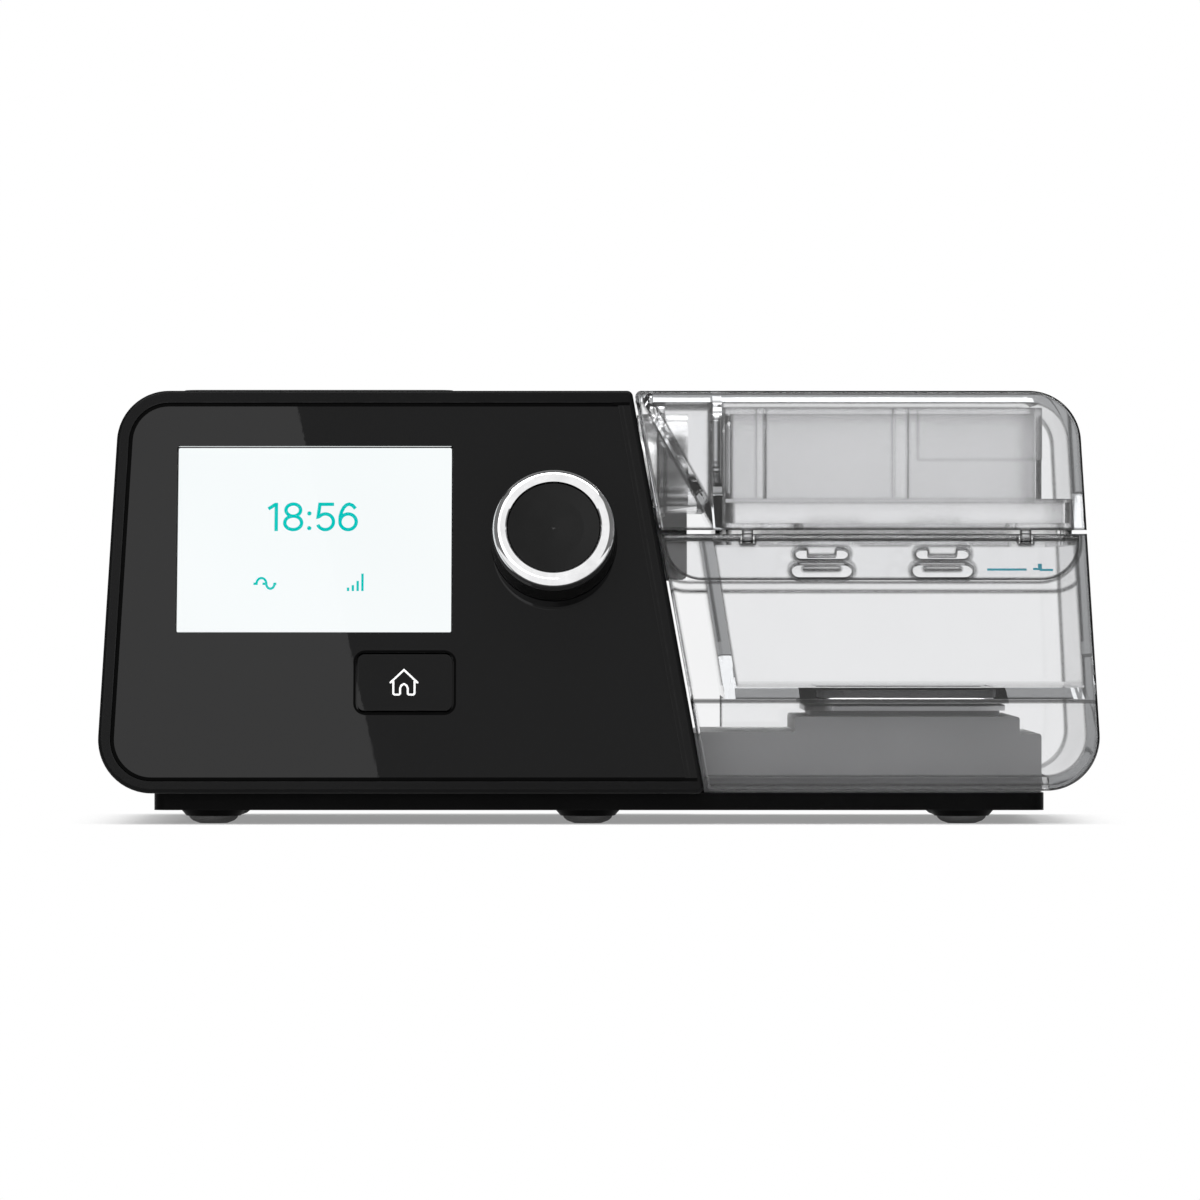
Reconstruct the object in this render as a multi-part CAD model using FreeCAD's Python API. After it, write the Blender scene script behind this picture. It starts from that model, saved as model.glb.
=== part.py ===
import FreeCAD, Part
import math
import os
from FreeCAD import Placement, Rotation, Vector

# Sleep therapy (CPAP) blower with a clear side water chamber.
# Millimetres.  X runs to the right, Y to the back, Z up.  The origin is on the
# table, under the middle of the machine.  The front face leans back by FACE_TILT.

# ---- overall form ----
WIDTH = 265.0              # widest point, where the lower corners begin
BODY_BOTTOM = 8.2
BODY_TOP = 115.2
SIDE_DRAFT = 2.8           # degrees, each side leans in towards the top
TOP_CORNER = 13.8
BOTTOM_CORNER = 14.3
FACE_TILT = 16.5           # degrees, lean of the front face
FRONT_Y = -79.0            # foot of the front face
REAR_Y = 59.0
SEAM_TOP_X = 8.8           # joint line between machine and chamber, at the top
SEAM_LEAN = 10.15          # degrees from upright
SEAM_GAP = 0.6
SEAM_CORNER = 1.6

# ---- housing ----
WALL = 2.4
BEZEL = 3.2                # rim around the front panel
RIM_ROUND = 1.1            # edge round of the front rim
PANEL_GROOVE = 0.6
PANEL_SINK = 0.25          # panel face below the rim
PANEL_THICK = 2.5
LEDGE = 2.4                # ledge that the panel lands on
COVER_DEPTH = 8.0
COVER_WALL = 2.5
COVER_ROUND = 2.5

# ---- clearances ----
FIT = 0.15                 # between moulded parts that are pushed together
RUN = 0.05                 # radial, pins and shafts
LOOSE = 0.35               # between parts that move past each other

TILT_TAN = math.tan(math.radians(FACE_TILT))
TILT_COS = math.cos(math.radians(FACE_TILT))
TILT_SIN = math.sin(math.radians(FACE_TILT))
DRAFT_TAN = math.tan(math.radians(SIDE_DRAFT))
SEAM_TAN = math.tan(math.radians(SEAM_LEAN))
FAR = 400.0                # longer than anything, for cutting

HOUSING_BACK = REAR_Y - COVER_DEPTH
PANEL_INSET = BEZEL + PANEL_GROOVE
PANEL_BACK = PANEL_SINK + PANEL_THICK      # depth of the ledge below the rim

# air ports in the joint wall, and the outlet at the back
LID_TALL = 38.3            # lid and joint
SPLIT_Z = BODY_TOP - LID_TALL      # top of the tub
PORT_DROP = 18.3           # centre of the ports below the top
PORT_Z = BODY_TOP - PORT_DROP
PORT_RADIUS = 10.4
SUPPLY_Y = -14.0
RETURN_Y = 22.0
SPIGOT_X = -14.0
SPIGOT_RADIUS = 11.0       # 22 mm conical outlet of breathing machines
SPIGOT_BORE = 9.0
SPIGOT_OUT = 19.6
SPIGOT_COLLAR = 2.5
SPIGOT_STEP = 1.2          # the neck in the rear cover is thicker than the tube
SPIGOT_SHOULDER = 0.6      # and stands this far out of the cover
SPIGOT_INSIDE = 4.0        # how far the collar reaches into the housing
ELBOW_RADIUS = 16.0

# top (ramp) button
TOP_PAD_INSET = 20.7       # from the left end of the machine
TOP_PAD_X = (TOP_PAD_INSET - WIDTH / 2, -39.0)
TOP_PAD_Y = (-30.0, 6.0)
TOP_PAD_PROUD = 0.6
TOP_PAD_CORNER = 5.0
TOP_PAD_THICK = 1.6
TOP_TRAVEL = 0.5
TOP_STEM = 3.0
TOP_STEM_INSET = 13.8
TOP_STEM_X = TOP_PAD_X[0] + TOP_STEM_INSET
TOP_SWITCH_DROP = 8.8
TOP_SWITCH_TOP = BODY_TOP - TOP_SWITCH_DROP
TOP_SWITCH_TALL = 4.3
TOP_KEY_TALL = 0.8
TOP_SWITCH_SIZE = 6.0
TOP_BOARD = (24.0, 22.0, 1.6)

# screws that hold the rear cover
SCREW_DROP = 12.2          # upper screws below the top
SCREW_INSET = (18.5, 26.5) # lower and upper screw from the left end
SCREW_SPOTS = [
    (SCREW_INSET[0] - WIDTH / 2, 19.0),
    (8.0, 19.0),
    (-34.0, BODY_TOP - SCREW_DROP),
    (SCREW_INSET[1] - WIDTH / 2, BODY_TOP - SCREW_DROP),
]
SCREW_RADIUS = 1.4
SCREW_HEAD = 2.8
SCREW_HEAD_TALL = 2.0
SCREW_SOCKET = 1.1
SCREW_SEAT_Y = REAR_Y - SCREW_HEAD_TALL - 0.6
BOSS_RADIUS = 4.2
BOSS_LONG = 16.0

# ---- rear cover ----
FILTER_INSET = 37.5        # centre of the filter from the left end
FILTER_X = FILTER_INSET - WIDTH / 2
FILTER_Z = 58.0
FILTER_SIZE = (50.0, 44.0)
FILTER_POCKET_WALL = 1.6
FILTER_DEPTH = 12.0
FILTER_LEDGE = 6.0         # rim that the filter lies on
INLET_X = -46.0
INLET_Z = 30.0
INLET_SIZE = (15.0, 12.0)
CARD_X = -40.0
CARD_Z = 62.0
CARD_SIZE = (24.0, 2.1)
CARD_SLOT_GAP = 0.6
CARD_THUMB = 6.0           # round recess for a fingertip at the card slot

# ---- base and feet ----
BASE_HALF = 118.0
BASE_BOTTOM = 3.6
BASE_Y = (-68.0, 50.0)
BASE_CORNER = 4.0
FOOT_INSET = (15.5, 21.6)  # outer feet from the left and right end of the base
FOOT_X = (FOOT_INSET[0] - BASE_HALF, -3.0, BASE_HALF - FOOT_INSET[1])
FOOT_Y = (-58.0, 40.0)
FOOT_COLLAR = 8.6
FOOT_COLLAR_LOW = 2.0
FOOT_RADIUS = 6.6
FOOT_FLAT = 3.6
FOOT_SHOULDER = 1.5
FOOT_SOCKET = 2.4

# ---- front panel, display and controls, in face axes ----
FACE_LONG = (BODY_TOP - BODY_BOTTOM) / TILT_COS
SCREEN_INSET = (20.1, 15.3)        # window from the left end and from the top edge
SCREEN_X = (SCREEN_INSET[0] - WIDTH / 2, -38.9)
SCREEN_V = (44.3, FACE_LONG - SCREEN_INSET[1])
LENS_THICK = 1.4
MODULE_BORDER = 3.4
MODULE_DEPTH = 6.0
MODULE_GAP = 0.2
BOARD_OUT = -13.0
BOARD_THICK = 1.6
BOARD_INSET = (10.5, 14.1)         # board from the left end and from the top edge
BOARD_X = (BOARD_INSET[0] - WIDTH / 2, -1.0)
BOARD_V = (19.0, FACE_LONG - BOARD_INSET[1])
POST_X = (BOARD_X[0] + 3.0, BOARD_X[1] - 3.0)
POST_V = (BOARD_V[0] + 5.0, BOARD_V[1] - 4.5)
POST_SPOTS = [(x, v) for x in POST_X for v in POST_V]
POST_RADIUS = 2.2
CHIP_SIZES = (12.0, 9.0, 7.0)
CHIP_PITCH = 22.0
CHIP_TALL = 1.4
CHIP_V = 72.0
HEADER_SIZE = (26.0, 6.0)
HEADER_TALL = 5.0
HOME_X = (-64.4, -38.5)
HOME_V = (22.3, 38.8)
HOME_CORNER = 2.3
HOME_GROOVE = 0.5
HOME_TRAVEL = 0.5
HOME_FACE = -0.1
HOME_STEM = 2.2
HOME_SWITCH_TOP = -7.4
KNOB_X = -12.0
KNOB_V = 70.0
KNOB_OUT = 12.2
KNOB_RING = 16.3
KNOB_SKIRT = 16.9
KNOB_CAP = 12.4
KNOB_RING_LOW = 7.5
KNOB_BAND = 14.3           # outer edge of the ring's flat band
KNOB_ROLL_LOW = 9.6        # the ring's round ends this far out of the face
KNOB_BREAK = 0.3
KNOB_TRAVEL = 0.6
KNOB_GAP = 0.1
SHAFT_RADIUS = 2.0
SHAFT_HOLE = 4.0
BUSH_RADIUS = 3.4
ENCODER_SIZE = (12.4, 13.2)
ENCODER_FRONT = -7.0
SHAFT_END = -10.3
PLUNGER_RADIUS = 1.2

# ---- blower and air path ----
FAN_INSET = 72.5           # axis of the blower from the left end
FAN_X = FAN_INSET - WIDTH / 2
FAN_DROP = 24.0            # axis of the blower below the ports
FAN_Z = PORT_Z - FAN_DROP
FAN_Y = (-27.0, -1.0)
FAN_WALL = 1.6
SCROLL_RADII = (24.0, 28.0, 31.0, 34.0)    # the volute grows by quarters
EXIT_REACH = 30.0
EXIT_X = FAN_X + EXIT_REACH
EXIT_TALL = 20.0
EYE_RADIUS = 13.0
WHEEL_RADIUS = 20.0
WHEEL_Y = (-18.0, -5.0)
WHEEL_PLATE = 1.2
WHEEL_HUB = 4.5
BLADE_COUNT = 18
BLADE_THICK = 1.0
AXLE_RADIUS = 1.5
MOTOR_RADIUS = 17.0
MOTOR_LONG = 11.0
MOTOR_NOSE = 5.0
EYE_COLLAR = 2.0
DUCT_WALL = 1.6
PAD_RADIUS = 4.0
PAD_TALL = 6.0
PAD_SPREAD = 8.0           # from the middle of the blower to each pad
CRADLE_HALF = 30.0
CRADLE_PLATE = 2.4
CRADLE_LEG = 3.0
CRADLE_EDGE = 1.5
FOAM_INSET = 18.5
FOAM_DROP = 19.2
FOAM_X = (FOAM_INSET - WIDTH / 2, -46.0)
FOAM_Y = (FAN_Y[1] + EYE_COLLAR + 0.3, 25.0)
FOAM_CHANNEL = 26.0
FOAM_Z = (BODY_BOTTOM + WALL + 0.2, BODY_TOP - FOAM_DROP)

# ---- filter, sockets and card ----
FILTER_THICK = 5.0
FILTER_COVER_THICK = 3.0
LOUVRE_COUNT = 7
LOUVRE_MARGIN = 6.0
LOUVRE_TALL = 2.6
COVER_THUMB = 9.0
PIN_RADIUS = 0.9
INLET_DEEP = 14.0
INLET_RIM = 2.0
INLET_BARREL = 4.0
CARD_LONG = 32.0
CARD_OUT = 0.6
CARD_GUIDE_LONG = 30.0

# ---- key that guides the chamber, and the heater under it ----
KEY_RIGHT = 24.2
KEY_Y = (40.0, 54.0)
KEY_REACH = (12.3, 11.1)   # below and above the joint between tub and lid
KEY_Z = (SPLIT_Z - KEY_REACH[0], SPLIT_Z + KEY_REACH[1])
DECK_LEFT_TOP = 24.0
DECK_TOP = 28.0
DECK_RIGHT_TOP = 23.5
DECK_STEP_X = (52.0, 111.8)
DECK_RIGHT = 117.6
DECK_Y = (-60.0, 46.0)
DECK_WALL = 2.4
HOT_X = (55.0, 109.0)
HOT_Y = (-44.0, 40.0)
HOT_CORNER = 12.0
HOT_TOP = 31.0
HOT_THICK = 1.6
HOT_STEM = 9.0
HOT_STEM_LOW = 14.0
SPRING_SIZE = (22.0, 0.5, 8.0)     # half length, thickness, width

# ---- water chamber: tub ----
TUB_LIFT = 0.7
TUB_BOTTOM = BODY_BOTTOM + TUB_LIFT
SPLIT_GAP = 1.0            # joint between tub and lid
CHAMBER_SHORT = 7.0        # the chamber ends this far before the rear cover
CHAMBER_BACK = REAR_Y - CHAMBER_SHORT
CHAMBER_WALL = 3.3         # rim and side walls
CLEAR_WALL = 2.8           # front and back walls
SKIRT_LIP_Y = -64.0        # the bottom lip ends here, in front of the heater
DECK_SIDE_GAP = 1.6
SIDE_LIP_X = DECK_RIGHT + DECK_SIDE_GAP
TUB_FLOOR = (32.8, 35.8)
TUB_LEFT_LOW = 33.4
TUB_LEFT_TOP = 26.5
TUB_LEFT_THICK = 3.5
SKIRT_BACK_LOW = 12.0
METAL_GAP = 0.3
METAL_THICK = 1.2
METAL_LIP = 4.0
FLAP_TALL = 12.3           # latch flap below the joint
FLAP_LOW = SPLIT_Z - FLAP_TALL
FLAP_INSET = 4.8
FLAP_RIGHT = WIDTH / 2 - FLAP_INSET
FLAP_CORNER = 10.6
FLAP_THICK = 2.3
FLAP_GAP = 0.6
FLAP_POCKET = 2.6
PIVOT_DROP = 1.5
PIVOT_Z = SPLIT_Z - PIVOT_DROP
PIVOT_OUT = -1.25
PIVOT_BARREL = 1.1
PIVOT_PIN = 0.6
PIVOT_RUN = 0.06
PIVOT_FIT = 0.02
PIN_OVERHANG = 8.0
WINDOW_X = (59.2, 91.3)
WINDOW_DROP = 9.7
WINDOW_Z = SPLIT_Z - WINDOW_DROP
WINDOW_SIZE = (16.0, 4.0)
CLIP_RISE = 4.6            # row of spring clips above the windows
CLIP_SIZE = (14.0, 3.0)
CLIP_TONGUE = 8.0
HOOK_WIDE = 10.0
HOOK_OUT = 1.5
HINGE_OUT = 3.6
HINGE_Y = CHAMBER_BACK + HINGE_OUT
HINGE_Z = SPLIT_Z + SPLIT_GAP / 2
HINGE_KNUCKLE = 3.3
HINGE_PIN = 1.5
HINGE_START = 44.0
HINGE_PITCH = 14.0
KNUCKLE_GAP = 0.4
LID_BOTTOM = SPLIT_Z + SPLIT_GAP

# ---- water chamber: lid ----
GASKET_TALL = 3.5
GASKET_LOW = SPLIT_Z - GASKET_TALL
GASKET_LEFT = 31.0
GASKET_WIDE = 3.0
LINER_RISE = 8.1
LINER_TOP = SPLIT_Z + LINER_RISE
LINER_LEFT = 33.7
LINER_WALL = 1.6
LINER_OPENING = (60.0, 18.0, 4.0)
DIAGONAL_LOW = 30.8
DIAGONAL_TOP = 10.9
DIAGONAL_THICK = 2.6
PARTITION_X = (30.4, 32.8)
PORT_FLANGE_X = (15.6, 17.8)
PORT_FLANGE = 15.5
PORT_TUBE = 14.4
SEAL_RADIUS = 12.4
SEAL_END_X = 24.0
BAFFLE_INSET = 14.1
BAFFLE_RIGHT = WIDTH / 2 - BAFFLE_INSET
BAFFLE_DROP = 4.8
BAFFLE_TOP = BODY_TOP - BAFFLE_DROP
BAFFLE_FRONT_GAP = 2.2
BAFFLE_FRONT = FRONT_Y + (BAFFLE_TOP - BODY_BOTTOM) * TILT_TAN + CLEAR_WALL / TILT_COS + BAFFLE_FRONT_GAP
BAFFLE_Y = (BAFFLE_FRONT, 44.0)
BAFFLE_WALL = 1.6
BAFFLE_RIBS = ((43.4, 1.4), (80.6, 2.2))     # place and radius
BAFFLE_STEP = 1.4
PAD_INSET = 47.3           # raised corner of the baffle from the right end
PAD_DROP = 18.7
BAFFLE_PAD = (WIDTH / 2 - PAD_INSET, BODY_TOP - PAD_DROP)
EAR_X = ((38.0, 41.0), (112.0, 115.0))


# ---- outlines ----
def half_width(z):
    """Half the body width at height z."""
    return WIDTH / 2 - (z - BODY_BOTTOM - BOTTOM_CORNER) * DRAFT_TAN


def seam_x(z):
    """X of the joint line at height z."""
    return SEAM_TOP_X + (BODY_TOP - z) * SEAM_TAN


def face_y(z, inward=0.0):
    """Y of the front face at height z, or of a plane further in."""
    return FRONT_Y + (z - BODY_BOTTOM) * TILT_TAN + inward / TILT_COS


def face_v(z, out=0.0):
    """Distance up the front face of a point at height z, raised by out."""
    return (z - BODY_BOTTOM - out * TILT_SIN) / TILT_COS


def outline(points, radii):
    """Closed wire through flat points, each corner rounded by its radius."""
    corners = [Vector(x, y, 0) for x, y in points]
    starts = []
    arcs = []
    ends = []
    for i, corner in enumerate(corners):
        before = (corners[i - 1] - corner).normalize()
        after = (corners[(i + 1) % len(corners)] - corner).normalize()
        radius = radii[i] if isinstance(radii, (list, tuple)) else radii
        if radius == 0:
            starts.append(corner)
            ends.append(corner)
            arcs.append(None)
            continue
        half = before.getAngle(after) / 2
        reach = radius / math.tan(half)
        starts.append(corner + before * reach)
        ends.append(corner + after * reach)
        centre = corner + (before + after).normalize() * (radius / math.sin(half))
        middle = centre + (corner - centre).normalize() * radius
        arcs.append(Part.Arc(starts[-1], middle, ends[-1]).toShape())
    edges = []
    for i, arc in enumerate(arcs):
        if arc:
            edges.append(arc)
        following = starts[(i + 1) % len(corners)]
        if ends[i].distanceToPoint(following) > 1e-6:
            edges.append(Part.makeLine(ends[i], following))
    return Part.Wire(edges)


def inset(points, gaps):
    """Corner points moved inwards; gaps gives one distance, or one per side."""
    count = len(points)
    if not isinstance(gaps, (list, tuple)):
        gaps = [gaps] * count
    area = sum(points[i - 1][0] * points[i][1] - points[i][0] * points[i - 1][1] for i in range(count))
    turn = 1.0 if area > 0 else -1.0
    lines = []
    for i in range(count):
        (x0, y0), (x1, y1) = points[i], points[(i + 1) % count]
        length = math.hypot(x1 - x0, y1 - y0)
        dx, dy = (x1 - x0) / length, (y1 - y0) / length
        lines.append((x0 - turn * dy * gaps[i], y0 + turn * dx * gaps[i], dx, dy))
    moved = []
    for i in range(count):
        ax, ay, adx, ady = lines[i - 1]
        bx, by, bdx, bdy = lines[i]
        step = ((bx - ax) * bdy - (by - ay) * bdx) / (adx * bdy - ady * bdx)
        moved.append((ax + adx * step, ay + ady * step))
    return moved


def smaller(radii, change):
    """Corner radii of an outline that is moved inwards by change."""
    return [max(radius - change, 0.4) for radius in radii]


# ---- solids ----
def prism(points, radii, depth):
    return Part.Face(outline(points, radii)).extrude(Vector(0, 0, depth))


def upright(points, radii, y0, y1):
    """Front view outline (x, z) carried from y0 back to y1."""
    solid = prism(points, radii, y1 - y0)
    solid.Placement = Placement(Vector(0, y1, 0), Rotation(Vector(1, 0, 0), 90))
    return solid


def level(points, radii, z0, z1):
    """Plan outline (x, y) carried from z0 up to z1."""
    solid = prism(points, radii, z1 - z0)
    solid.Placement = Placement(Vector(0, 0, z0), Rotation())
    return solid


def sideways(points, radii, x0, x1):
    """Side view outline (y, z) carried from x0 to x1."""
    solid = prism(points, radii, x1 - x0)
    solid.Placement = Placement(Vector(x0, 0, 0), Rotation(Vector(1, 1, 1), 120))
    return solid


def on_face(solid):
    """Put a solid made in face axes (across, up the face, out) on the machine."""
    moved = solid.copy()
    face = Placement(Vector(0, FRONT_Y, BODY_BOTTOM), Rotation(Vector(1, 0, 0), 90 - FACE_TILT))
    moved.Placement = face.multiply(moved.Placement)
    return moved


def face_prism(points, radii, out0, out1):
    """Outline (across, up the face) between two distances out of the face."""
    solid = prism(points, radii, out1 - out0)
    solid.Placement = Placement(Vector(0, 0, out0), Rotation())
    return on_face(solid)


def face_slab(out0, out1):
    """Everything between two planes parallel to the front face."""
    return on_face(Part.makeBox(2 * FAR, 2 * FAR, out1 - out0, Vector(-FAR, -FAR, out0)))


def face_disc(x, v, radius, out0, out1):
    return on_face(Part.makeCylinder(radius, out1 - out0, Vector(x, v, out0)))


def rod(radius, start, end):
    """Round bar from one point to another."""
    axis = Vector(*end) - Vector(*start)
    return Part.makeCylinder(radius, axis.Length, Vector(*start), axis)


def along_x(radius, y, z, x0, x1):
    return rod(radius, (x0, y, z), (x1, y, z))


def along_y(radius, x, z, y0, y1):
    return rod(radius, (x, y0, z), (x, y1, z))


def along_face(radius, v, out, x0, x1):
    """Round bar across the machine at a place given in face axes."""
    return on_face(rod(radius, (x0, v, out), (x1, v, out)))


def tube(outer, inner, start, end):
    return rod(outer, start, end).cut(rod(inner, start, end))


def block(x, y, z):
    """Box between pairs of limits."""
    return Part.makeBox(x[1] - x[0], y[1] - y[0], z[1] - z[0], Vector(x[0], y[0], z[0]))


def rectangle(x, y):
    return [(x[0], y[0]), (x[1], y[0]), (x[1], y[1]), (x[0], y[1])]


def around(x, y, width, height):
    """Rectangle about a centre."""
    return rectangle((x - width / 2, x + width / 2), (y - height / 2, y + height / 2))


def join(solids):
    first, rest = solids[0], solids[1:]
    return first.fuse(rest).removeSplitter() if rest else first


def rim_edges(solid, side, value):
    """Edges that lie flat at a height ("z") or a depth ("y")."""
    return [edge for edge in solid.Edges
            if all(abs(getattr(corner.Point, side) - value) < 0.01 for corner in edge.Vertexes)]


def round_front(solid, radius):
    """Round the edges that lie in the front face plane."""
    edges = []
    for edge in solid.Edges:
        middle = edge.valueAt((edge.FirstParameter + edge.LastParameter) / 2)
        spots = [vertex.Point for vertex in edge.Vertexes] + [middle]
        if all(abs(spot.y - face_y(spot.z)) < 0.01 for spot in spots):
            edges.append(edge)
    return solid.makeFillet(radius, edges)


def behind_face(points, radii, y1):
    """Outline solid from the front face back to y1."""
    return upright(points, radii, FRONT_Y - 10, y1).cut(face_slab(0, FAR))


# ---- main housing ----
MAIN_CORNERS = [
    (-half_width(BODY_BOTTOM), BODY_BOTTOM),
    (seam_x(BODY_BOTTOM), BODY_BOTTOM),
    (seam_x(BODY_TOP), BODY_TOP),
    (-half_width(BODY_TOP), BODY_TOP),
]
MAIN_RADII = [BOTTOM_CORNER, SEAM_CORNER, SEAM_CORNER, TOP_CORNER]


def screw_boss(x, z):
    """Boss for a cover screw, carried by the nearer long wall."""
    start = HOUSING_BACK - BOSS_LONG
    wall = BODY_BOTTOM + WALL / 2 if z < (BODY_BOTTOM + BODY_TOP) / 2 else BODY_TOP - WALL / 2
    low, high = min(z, wall), max(z, wall)
    web = block((x - BOSS_RADIUS, x + BOSS_RADIUS), (start, HOUSING_BACK), (low, high))
    solid = rod(BOSS_RADIUS, (x, start, z), (x, HOUSING_BACK, z)).fuse(web)
    return solid.cut(rod(SCREW_RADIUS + RUN, (x, start + 2, z), (x, HOUSING_BACK, z)))


def main_inset(distance, y0=-FAR, y1=FAR):
    """The machine's front outline, moved inwards, as a long solid."""
    return upright(inset(MAIN_CORNERS, distance), smaller(MAIN_RADII, distance), y0, y1)


def main_housing():
    body = behind_face(MAIN_CORNERS, MAIN_RADII, HOUSING_BACK)
    body = round_front(body, RIM_ROUND)
    ledge_back = -PANEL_BACK - LEDGE
    body = body.cut(main_inset(BEZEL).common(face_slab(-PANEL_BACK, FAR)))
    body = body.cut(main_inset(PANEL_INSET + LEDGE).common(face_slab(ledge_back - 1, FAR)))
    body = body.cut(main_inset(WALL).cut(face_slab(ledge_back, FAR)))
    for y in (SUPPLY_Y, RETURN_Y):
        body = body.cut(rod(PORT_RADIUS, (-5, y, PORT_Z), (30, y, PORT_Z)))
    pocket = around(sum(TOP_PAD_X) / 2, sum(TOP_PAD_Y) / 2,
                    TOP_PAD_X[1] - TOP_PAD_X[0] + 2 * FIT, TOP_PAD_Y[1] - TOP_PAD_Y[0] + 2 * FIT)
    floor = BODY_TOP + TOP_PAD_PROUD - TOP_PAD_THICK - TOP_TRAVEL - FIT
    body = body.cut(level(pocket, TOP_PAD_CORNER + FIT, floor, FAR))
    tray = inset(pocket, -WALL / 2)
    under = level(tray, TOP_PAD_CORNER + WALL / 2, floor - WALL / 2, BODY_TOP - WALL / 2)
    under = under.cut(level(pocket, TOP_PAD_CORNER + FIT, floor, FAR))
    centre_x = TOP_STEM_X
    centre_y = sum(TOP_PAD_Y) / 2
    hole = rod(TOP_STEM + LOOSE, (centre_x, centre_y, floor - WALL), (centre_x, centre_y, FAR))
    body = body.fuse(under).cut(hole)
    body = body.fuse([screw_boss(x, z) for x, z in SCREW_SPOTS])
    return body.removeSplitter()


def top_button():
    x = TOP_STEM_X
    y = sum(TOP_PAD_Y) / 2
    face = BODY_TOP + TOP_PAD_PROUD
    plan = rectangle(TOP_PAD_X, TOP_PAD_Y)
    pad = level(plan, TOP_PAD_CORNER, face - TOP_PAD_THICK, face)
    pad = pad.makeFillet(TOP_PAD_PROUD, rim_edges(pad, "z", face))
    stem = rod(TOP_STEM, (x, y, TOP_SWITCH_TOP + TOP_TRAVEL + FIT), (x, y, face - TOP_PAD_THICK / 2))
    return pad.fuse(stem).removeSplitter()


def top_switch():
    """Tact switch on its small board, held under the button tray."""
    x = TOP_STEM_X
    y = sum(TOP_PAD_Y) / 2
    board_top = TOP_SWITCH_TOP - TOP_SWITCH_TALL
    board = level(around(x, y, TOP_BOARD[0], TOP_BOARD[1]), 1.0, board_top - TOP_BOARD[2], board_top)
    key_low = TOP_SWITCH_TOP - TOP_KEY_TALL
    case = level(around(x, y, TOP_SWITCH_SIZE, TOP_SWITCH_SIZE), 0.4, board_top, key_low)
    key = rod(1.7, (x, y, key_low), (x, y, TOP_SWITCH_TOP))
    floor = BODY_TOP + TOP_PAD_PROUD - TOP_PAD_THICK - TOP_TRAVEL - FIT - WALL / 2
    posts = []
    for side in (-1, 1):
        spot = x + side * (TOP_BOARD[0] / 2 - 3)
        posts.append(rod(2.0, (spot, y, board_top), (spot, y, floor)))
    return join([board, case, key] + posts)


# ---- rear cover ----


def rear_cover():
    body = upright(MAIN_CORNERS, MAIN_RADII, HOUSING_BACK, REAR_Y)
    body = body.makeFillet(COVER_ROUND, rim_edges(body, "y", REAR_Y))
    body = body.cut(main_inset(COVER_WALL, 0, REAR_Y - COVER_WALL))
    well_x = FILTER_SIZE[0] + 2 * FILTER_POCKET_WALL
    well_z = FILTER_SIZE[1] + 2 * FILTER_POCKET_WALL
    well = upright(around(FILTER_X, FILTER_Z, well_x, well_z), 3.0, REAR_Y - FILTER_DEPTH - 1.6, REAR_Y - 1)
    body = body.fuse(well)
    body = body.cut(upright(around(FILTER_X, FILTER_Z, *FILTER_SIZE), 2.0, REAR_Y - FILTER_DEPTH, FAR))
    ledge = around(FILTER_X, FILTER_Z, *FILTER_SIZE)
    grid = upright(inset(ledge, FILTER_LEDGE), 2.0, 0, REAR_Y - FILTER_DEPTH + 1)
    body = body.cut(grid)
    body = body.cut(along_y(SPIGOT_RADIUS + SPIGOT_STEP + FIT, SPIGOT_X, PORT_Z, 0, FAR))
    body = body.cut(upright(inset(around(INLET_X, INLET_Z, *INLET_SIZE), -FIT), 1.5, 0, FAR))
    slot = inset(around(CARD_X, CARD_Z, *CARD_SIZE), -CARD_SLOT_GAP)
    body = body.cut(upright(slot, 0.5, 0, FAR))
    body = body.cut(along_y(CARD_THUMB, CARD_X, CARD_Z, REAR_Y - COVER_WALL / 2, FAR))
    for x, z in SCREW_SPOTS:
        body = body.fuse(along_y(BOSS_RADIUS, x, z, HOUSING_BACK, REAR_Y - 1))
        body = body.cut(along_y(SCREW_RADIUS + FIT, x, z, 0, FAR))
        body = body.cut(along_y(SCREW_HEAD + FIT, x, z, SCREW_SEAT_Y, FAR))
    return body.removeSplitter()


def rear_screws():
    screws = []
    top = SCREW_SEAT_Y + SCREW_HEAD_TALL
    for x, z in SCREW_SPOTS:
        shank = along_y(SCREW_RADIUS, x, z, HOUSING_BACK - BOSS_LONG + 4, SCREW_SEAT_Y)
        head = along_y(SCREW_HEAD, x, z, SCREW_SEAT_Y, top)
        socket = upright(hexagon(x, z, SCREW_SOCKET), 0, top - SCREW_SOCKET, top)
        screws.append(shank.fuse(head).removeSplitter().cut(socket))
    return Part.makeCompound(screws)


def hexagon(x, z, radius):
    return [(x + radius * math.cos(math.radians(60 * i)), z + radius * math.sin(math.radians(60 * i)))
            for i in range(6)]


# ---- base and feet ----


def base_plate():
    top = BODY_BOTTOM
    plate = level(rectangle((-BASE_HALF, BASE_HALF), BASE_Y), BASE_CORNER, BASE_BOTTOM, top)
    collars = []
    for x in FOOT_X:
        for y in FOOT_Y:
            cone = Part.makeCone(FOOT_RADIUS + 0.6, FOOT_COLLAR, BASE_BOTTOM - FOOT_COLLAR_LOW,
                                 Vector(x, y, FOOT_COLLAR_LOW))
            collars.append(cone)
    plate = plate.fuse(collars).removeSplitter()
    for x in FOOT_X:
        for y in FOOT_Y:
            socket = rod(FOOT_RADIUS - FOOT_SHOULDER, (x, y, 0), (x, y, BASE_BOTTOM + FOOT_SOCKET))
            plate = plate.cut(socket)
    return plate


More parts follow.
